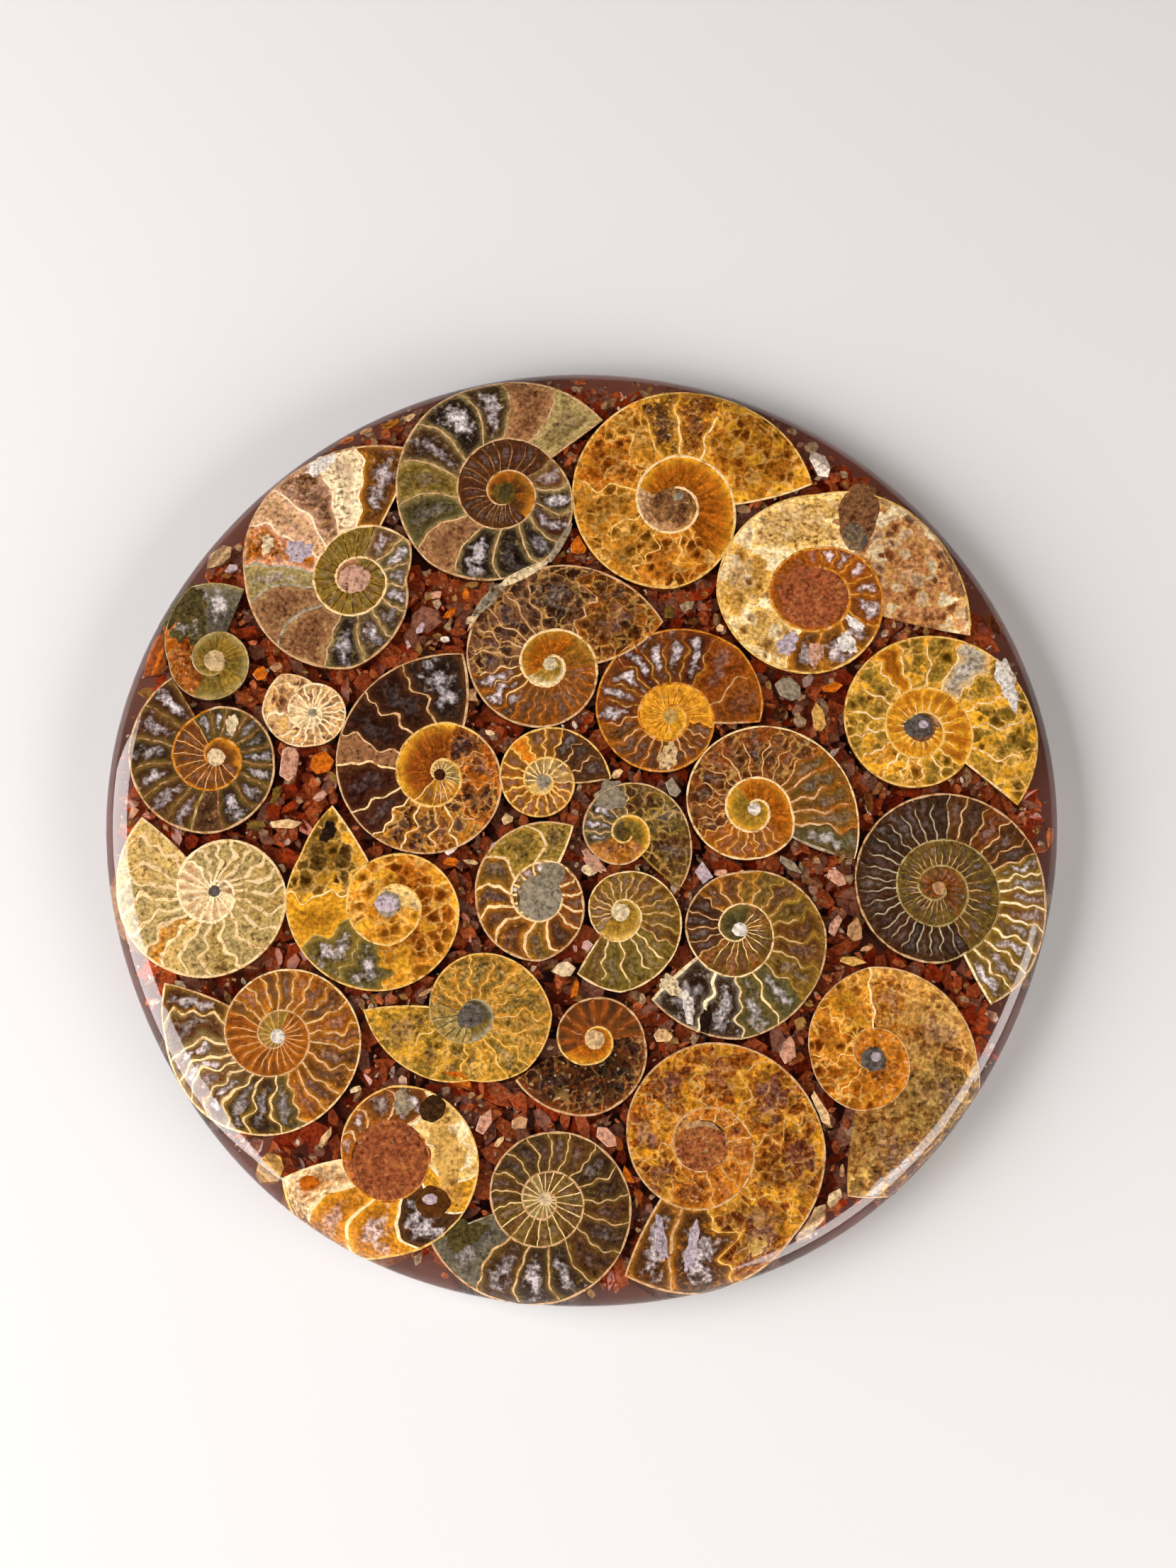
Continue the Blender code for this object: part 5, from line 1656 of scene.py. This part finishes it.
@dataclass
class Slivers:
    """The many small bits of shell that lie in the resin between the slices, at several depths.

    scattered is how many are strewn through all the sectors, and large_share how many of them are large.
    A bit reaches half_reach times its size from its middle, and never further out than widest. The laid
    ones are thickness thick, stand laid_lift off the face and tilt up to laid_tilt degrees. The strewn
    ones start at strewn_top.
    """

    finish: bpy.types.Material
    slices: list[AmmoniteSlice]
    scattered: int = 3840
    sectors: int = 24
    large_share: float = 0.6
    widest: float = 74.0
    half_reach: float = 0.65
    thickness: float = 0.7
    laid_lift: float = 0.02
    laid_tilt: float = 4.0
    strewn_top: float = -0.1

    def add_bit(self, sheet: Sheet, chip: Chip, top: float, thick: float, tilt: float,
                chance: random.Random) -> None:
        """Adds one bit: an uneven outline, given thickness, tilted and set at its depth.

        Args:
            sheet: the mesh it is added to.
            chip: its place, size, bearing and look.
            top: how far its top is above the plate's surface, in millimetres.
            thick: its thickness in millimetres.
            tilt: how far it leans sideways, in degrees.
            chance: where the unevenness of its outline comes from.
        """
        made = bmesh.ops.create_circle(sheet.mesh, cap_ends=True, segments=chance.choice((5, 6, 7)),
                                       radius=0.5)["verts"]
        for vertex in made:
            vertex.co.xy *= chance.uniform(0.5, 1.25)
        grown = bmesh.ops.extrude_face_region(sheet.mesh, geom=made[0].link_faces[:])["geom"]
        lower = [g for g in grown if isinstance(g, bmesh.types.BMVert)]
        bmesh.ops.translate(sheet.mesh, verts=lower, vec=(0.0, 0.0, -1.0))
        corners = made + lower
        added = list({f: 0 for v in corners for f in v.link_faces})
        size = Matrix.Diagonal((chip.length * MM, chip.width * MM, thick * MM, 1.0))
        lean = Matrix.Rotation(math.radians(tilt), 4, "X")
        turn = Matrix.Rotation(math.radians(chip.bearing), 4, "Z")
        middle = PLATE.on_top(chip.x, chip.y, top)
        placed = Matrix.Translation(middle) @ turn @ lean @ size
        bmesh.ops.transform(sheet.mesh, matrix=placed, verts=corners)
        level = PLATE.on_top(middle.x / MM, middle.y / MM).z
        for corner in corners:
            corner.co.z += PLATE.on_top(corner.co.x / MM, corner.co.y / MM).z - level
        bmesh.ops.recalc_face_normals(sheet.mesh, faces=added)
        tint = varied(chip.tint.linear(), chance, 0.15)
        for face in added:
            sheet.paint(face, tint, chip.grain, 0, False)

    def laid(self) -> bpy.types.Object:
        """Makes the bits that show at the face, each in its own place.

        Returns:
            The bits, as one object.
        """
        chance = random.Random("laid slivers")
        sheet = Sheet()
        for chip in SLIVERS:
            tilt = chance.uniform(-self.laid_tilt, self.laid_tilt)
            self.add_bit(sheet, chip, self.laid_lift, self.thickness, tilt, chance)
        return as_object(sheet.mesh, "slivers_laid", [self.finish])

    def strewn(self, sector: int) -> bpy.types.Object:
        """Strews bits through one sector of the resin: large ones deep down, then small ones throughout.

        Args:
            sector: the sector's number, counted against the clock.

        Returns:
            The sector's bits, as one object.
        """
        chance = random.Random(f"strewn slivers {sector}")
        sheet = Sheet()
        placed, wanted = 0, self.scattered // self.sectors
        while placed < wanted:
            sort = LARGE if placed < self.large_share * wanted else SMALL
            out = self.widest * math.sqrt(chance.random())
            bearing = math.radians((sector + chance.random()) * 360.0 / self.sectors)
            x, y = out * math.cos(bearing), out * math.sin(bearing)
            length = drawn(chance, sort.length)
            if out + self.half_reach * length > self.widest:
                continue
            if any(piece.covers(x, y, sort.clear * length) for piece in self.slices):
                continue
            tint = chance.choice(sort.tints)
            chip = Chip(x, y, length, length * chance.uniform(0.35, 0.8), chance.uniform(0, 180), tint)
            tilt = chance.uniform(-sort.tilt, sort.tilt)
            raised_side = self.half_reach * chip.width * abs(math.sin(math.radians(tilt)))
            depth = max(drawn(chance, sort.depth), raised_side)
            self.add_bit(sheet, chip, self.strewn_top - depth, chance.uniform(0.3, 0.9), tilt, chance)
            placed += 1
        return as_object(sheet.mesh, f"slivers_strewn_{sector + 1:02d}", [self.finish])


@dataclass(frozen=True)
class Lamp:
    """A soft rectangular lamp, turned to the plate's middle: its place and size in metres, watts, tint."""

    name: str
    place: tuple[float, float, float]
    size: tuple[float, float]
    power: float
    tint: Colour

    def hang(self) -> None:
        """Hangs the lamp."""
        lamp = bpy.data.lights.new(self.name, "AREA")
        lamp.shape = "RECTANGLE"
        lamp.size, lamp.size_y = self.size
        lamp.energy = self.power
        lamp.color = self.tint
        place = Vector(self.place)
        put_facing(self.name, lamp, place, -place)


def put_facing(name: str, data: bpy.types.ID, place: Vector, forward: Vector) -> bpy.types.Object:
    """Puts a lamp or a camera in the scene.

    Args:
        name: the object's name.
        data: the lamp or the camera.
        place: where it is, in metres.
        forward: the direction it faces.

    Returns:
        The object.
    """
    made = bpy.data.objects.new(name, data)
    made.location = place
    made.rotation_euler = forward.to_track_quat("-Z", "Y").to_euler()
    bpy.context.scene.collection.objects.link(made)
    return made


@dataclass(frozen=True)
class Studio:
    """A pale floor, soft light from the left and a strip from the right, and the camera above.

    Lengths are in metres. The camera is away from the point aim, seen height_angle degrees above the
    floor. The room's light eases with the upward and the backward part of a direction: overhead and
    behind each hold where the easing starts and ends, and the strengths there.
    """

    floor_half: float = 2.0
    floor_drop: float = 0.0001
    floor_tint: Colour = (0.56, 0.55, 0.54)
    floor_roughness: float = 0.7
    lamps: tuple[Lamp, ...] = (
        Lamp("broad_left", (-0.74, -0.10, 0.42), (0.8, 0.75), 18.2, (1.0, 0.97, 0.98)),
        Lamp("strip_right", (0.62, -0.44, 0.34), (0.9, 0.42), 9.1, (1.0, 0.95, 0.93)),
    )
    sky_tint: Colour = (1.0, 0.98, 0.97)
    overhead: tuple[float, float, float, float] = (0.45, 0.93, 0.68, 0.04)
    behind: tuple[float, float, float, float] = (-0.35, 0.35, 1.0, 0.06)
    aim: tuple[float, float, float] = (0.001, 0.005, 0.009)
    away: float = 0.3416
    height_angle: float = 78.0
    lens: float = 50.0
    sensor: float = 36.0

    def lay_floor(self) -> bpy.types.Object:
        """Lays the floor, a hair below the plate's foot.

        Returns:
            The floor's object.
        """
        mesh = bmesh.new()
        bmesh.ops.create_grid(mesh, x_segments=1, y_segments=1, size=self.floor_half)
        bmesh.ops.translate(mesh, verts=mesh.verts, vec=(0.0, 0.0, -self.floor_drop))
        g = Graph("floor_paper")
        g.feed(g.shader.inputs["Base Color"], self.floor_tint)
        g.feed(g.shader.inputs["Roughness"], self.floor_roughness)
        return as_object(mesh, "floor", [g.material])

    def ease(self, tree: bpy.types.NodeTree, source: Socket, numbers: tuple[float, ...]) -> Socket:
        """Eases the light's strength along one part of the direction.

        Args:
            tree: the world's nodes.
            source: that part of the direction.
            numbers: where the easing starts and ends, and the strengths there.

        Returns:
            The strength.
        """
        ramp = tree.nodes.new("ShaderNodeMapRange")
        ramp.interpolation_type = "SMOOTHSTEP"
        for socket, given in zip(ramp.inputs[1:], numbers):
            socket.default_value = given
        tree.links.new(source, ramp.inputs[0])
        return ramp.outputs[0]

    def light_sky(self) -> None:
        """Gives the room a soft light that is dark overhead and behind, so that the flat face stays clear."""
        world = bpy.data.worlds.new("room")
        world.use_nodes = True
        tree = world.node_tree
        coords = tree.nodes.new("ShaderNodeTexCoord")
        parts = tree.nodes.new("ShaderNodeSeparateXYZ")
        tree.links.new(coords.outputs["Generated"], parts.inputs[0])
        both = tree.nodes.new("ShaderNodeMath")
        both.operation = "MULTIPLY"
        tree.links.new(self.ease(tree, parts.outputs[2], self.overhead), both.inputs[0])
        tree.links.new(self.ease(tree, parts.outputs[1], self.behind), both.inputs[1])
        sky = tree.nodes["Background"]
        tree.links.new(both.outputs[0], sky.inputs["Strength"])
        sky.inputs["Color"].default_value = (*self.sky_tint, 1.0)
        bpy.context.scene.world = world

    def set_camera(self) -> None:
        """Sets the camera above the plate, a little towards its near edge."""
        lens = bpy.data.cameras.new("camera")
        lens.lens = self.lens
        lens.sensor_width = self.sensor
        tip = math.radians(self.height_angle)
        back = Vector((0.0, -math.cos(tip), math.sin(tip)))
        bpy.context.scene.camera = put_facing("camera", lens, Vector(self.aim) + self.away * back, -back)

    def build(self) -> None:
        """Makes the floor, the lights and the camera."""
        self.lay_floor()
        for lamp in self.lamps:
            lamp.hang()
        self.light_sky()
        self.set_camera()
        bpy.context.scene.view_settings.view_transform = "Standard"


def ride_on_plate(piece: bpy.types.Object, node: str = "") -> None:
    """Fixes a piece to the plate, and lets it stand for its solid where it has one.

    Args:
        piece: the piece.
        node: the solid that it stands for, or nothing.
    """
    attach(piece, "root")
    if node:
        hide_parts(node)
    LOG.info("%s: %d faces", piece.name, len(piece.data.polygons))


# The cloud, cell, depth, fringe and gloss of every calcite.
CALCITES: dict[Slot, tuple[float, ...]] = {
    Slot.SMOKY: (1.5, 1.7, 0.24, 0.75, 0.04),
    Slot.AMBER: (1.7, 1.9, 0.19, 0.6, 0.04),
    Slot.HONEY: (1.9, 2.1, 0.22, 0.8, 0.04),
    Slot.OLIVE: (1.5, 1.8, 0.22, 0.6, 0.04),
    Slot.CREAM: (1.2, 1.5, 0.32, 0.6, 0.05),
}


def main() -> None:
    """Builds the studio, the resin, every slice, every shard and the slivers."""
    Studio().build()
    slab = ResinSlab(ResinFinish().make()).build()
    ride_on_plate(slab, "resin_slab")
    fillings = {}
    for slot, sizes in CALCITES.items():
        fillings[slot] = CalciteFinish(slot.value + "_calcite", *sizes).make()
    shell = ShellWallFinish().make()
    slices = [AmmoniteSlice(coil, fillings[coil.slot], shell) for coil in COILS]
    for piece in slices:
        ride_on_plate(piece.build(), piece.coil.name)
    broken = CalciteFinish("broken_shell", 0.8, 1.0, 0.40, 0.5, 0.14).make()
    for number, (slot, chip) in enumerate(SHARDS, 1):
        name = f"shard_{number:02d}"
        ride_on_plate(ShardPiece(name, chip, broken).build(), name)
    slivers = Slivers(broken, slices)
    ride_on_plate(slivers.laid())
    for sector in range(slivers.sectors):
        ride_on_plate(slivers.strewn(sector))


if __name__ == "__main__":
    logging.basicConfig(level=logging.INFO, format="%(name)s: %(message)s")
    main()
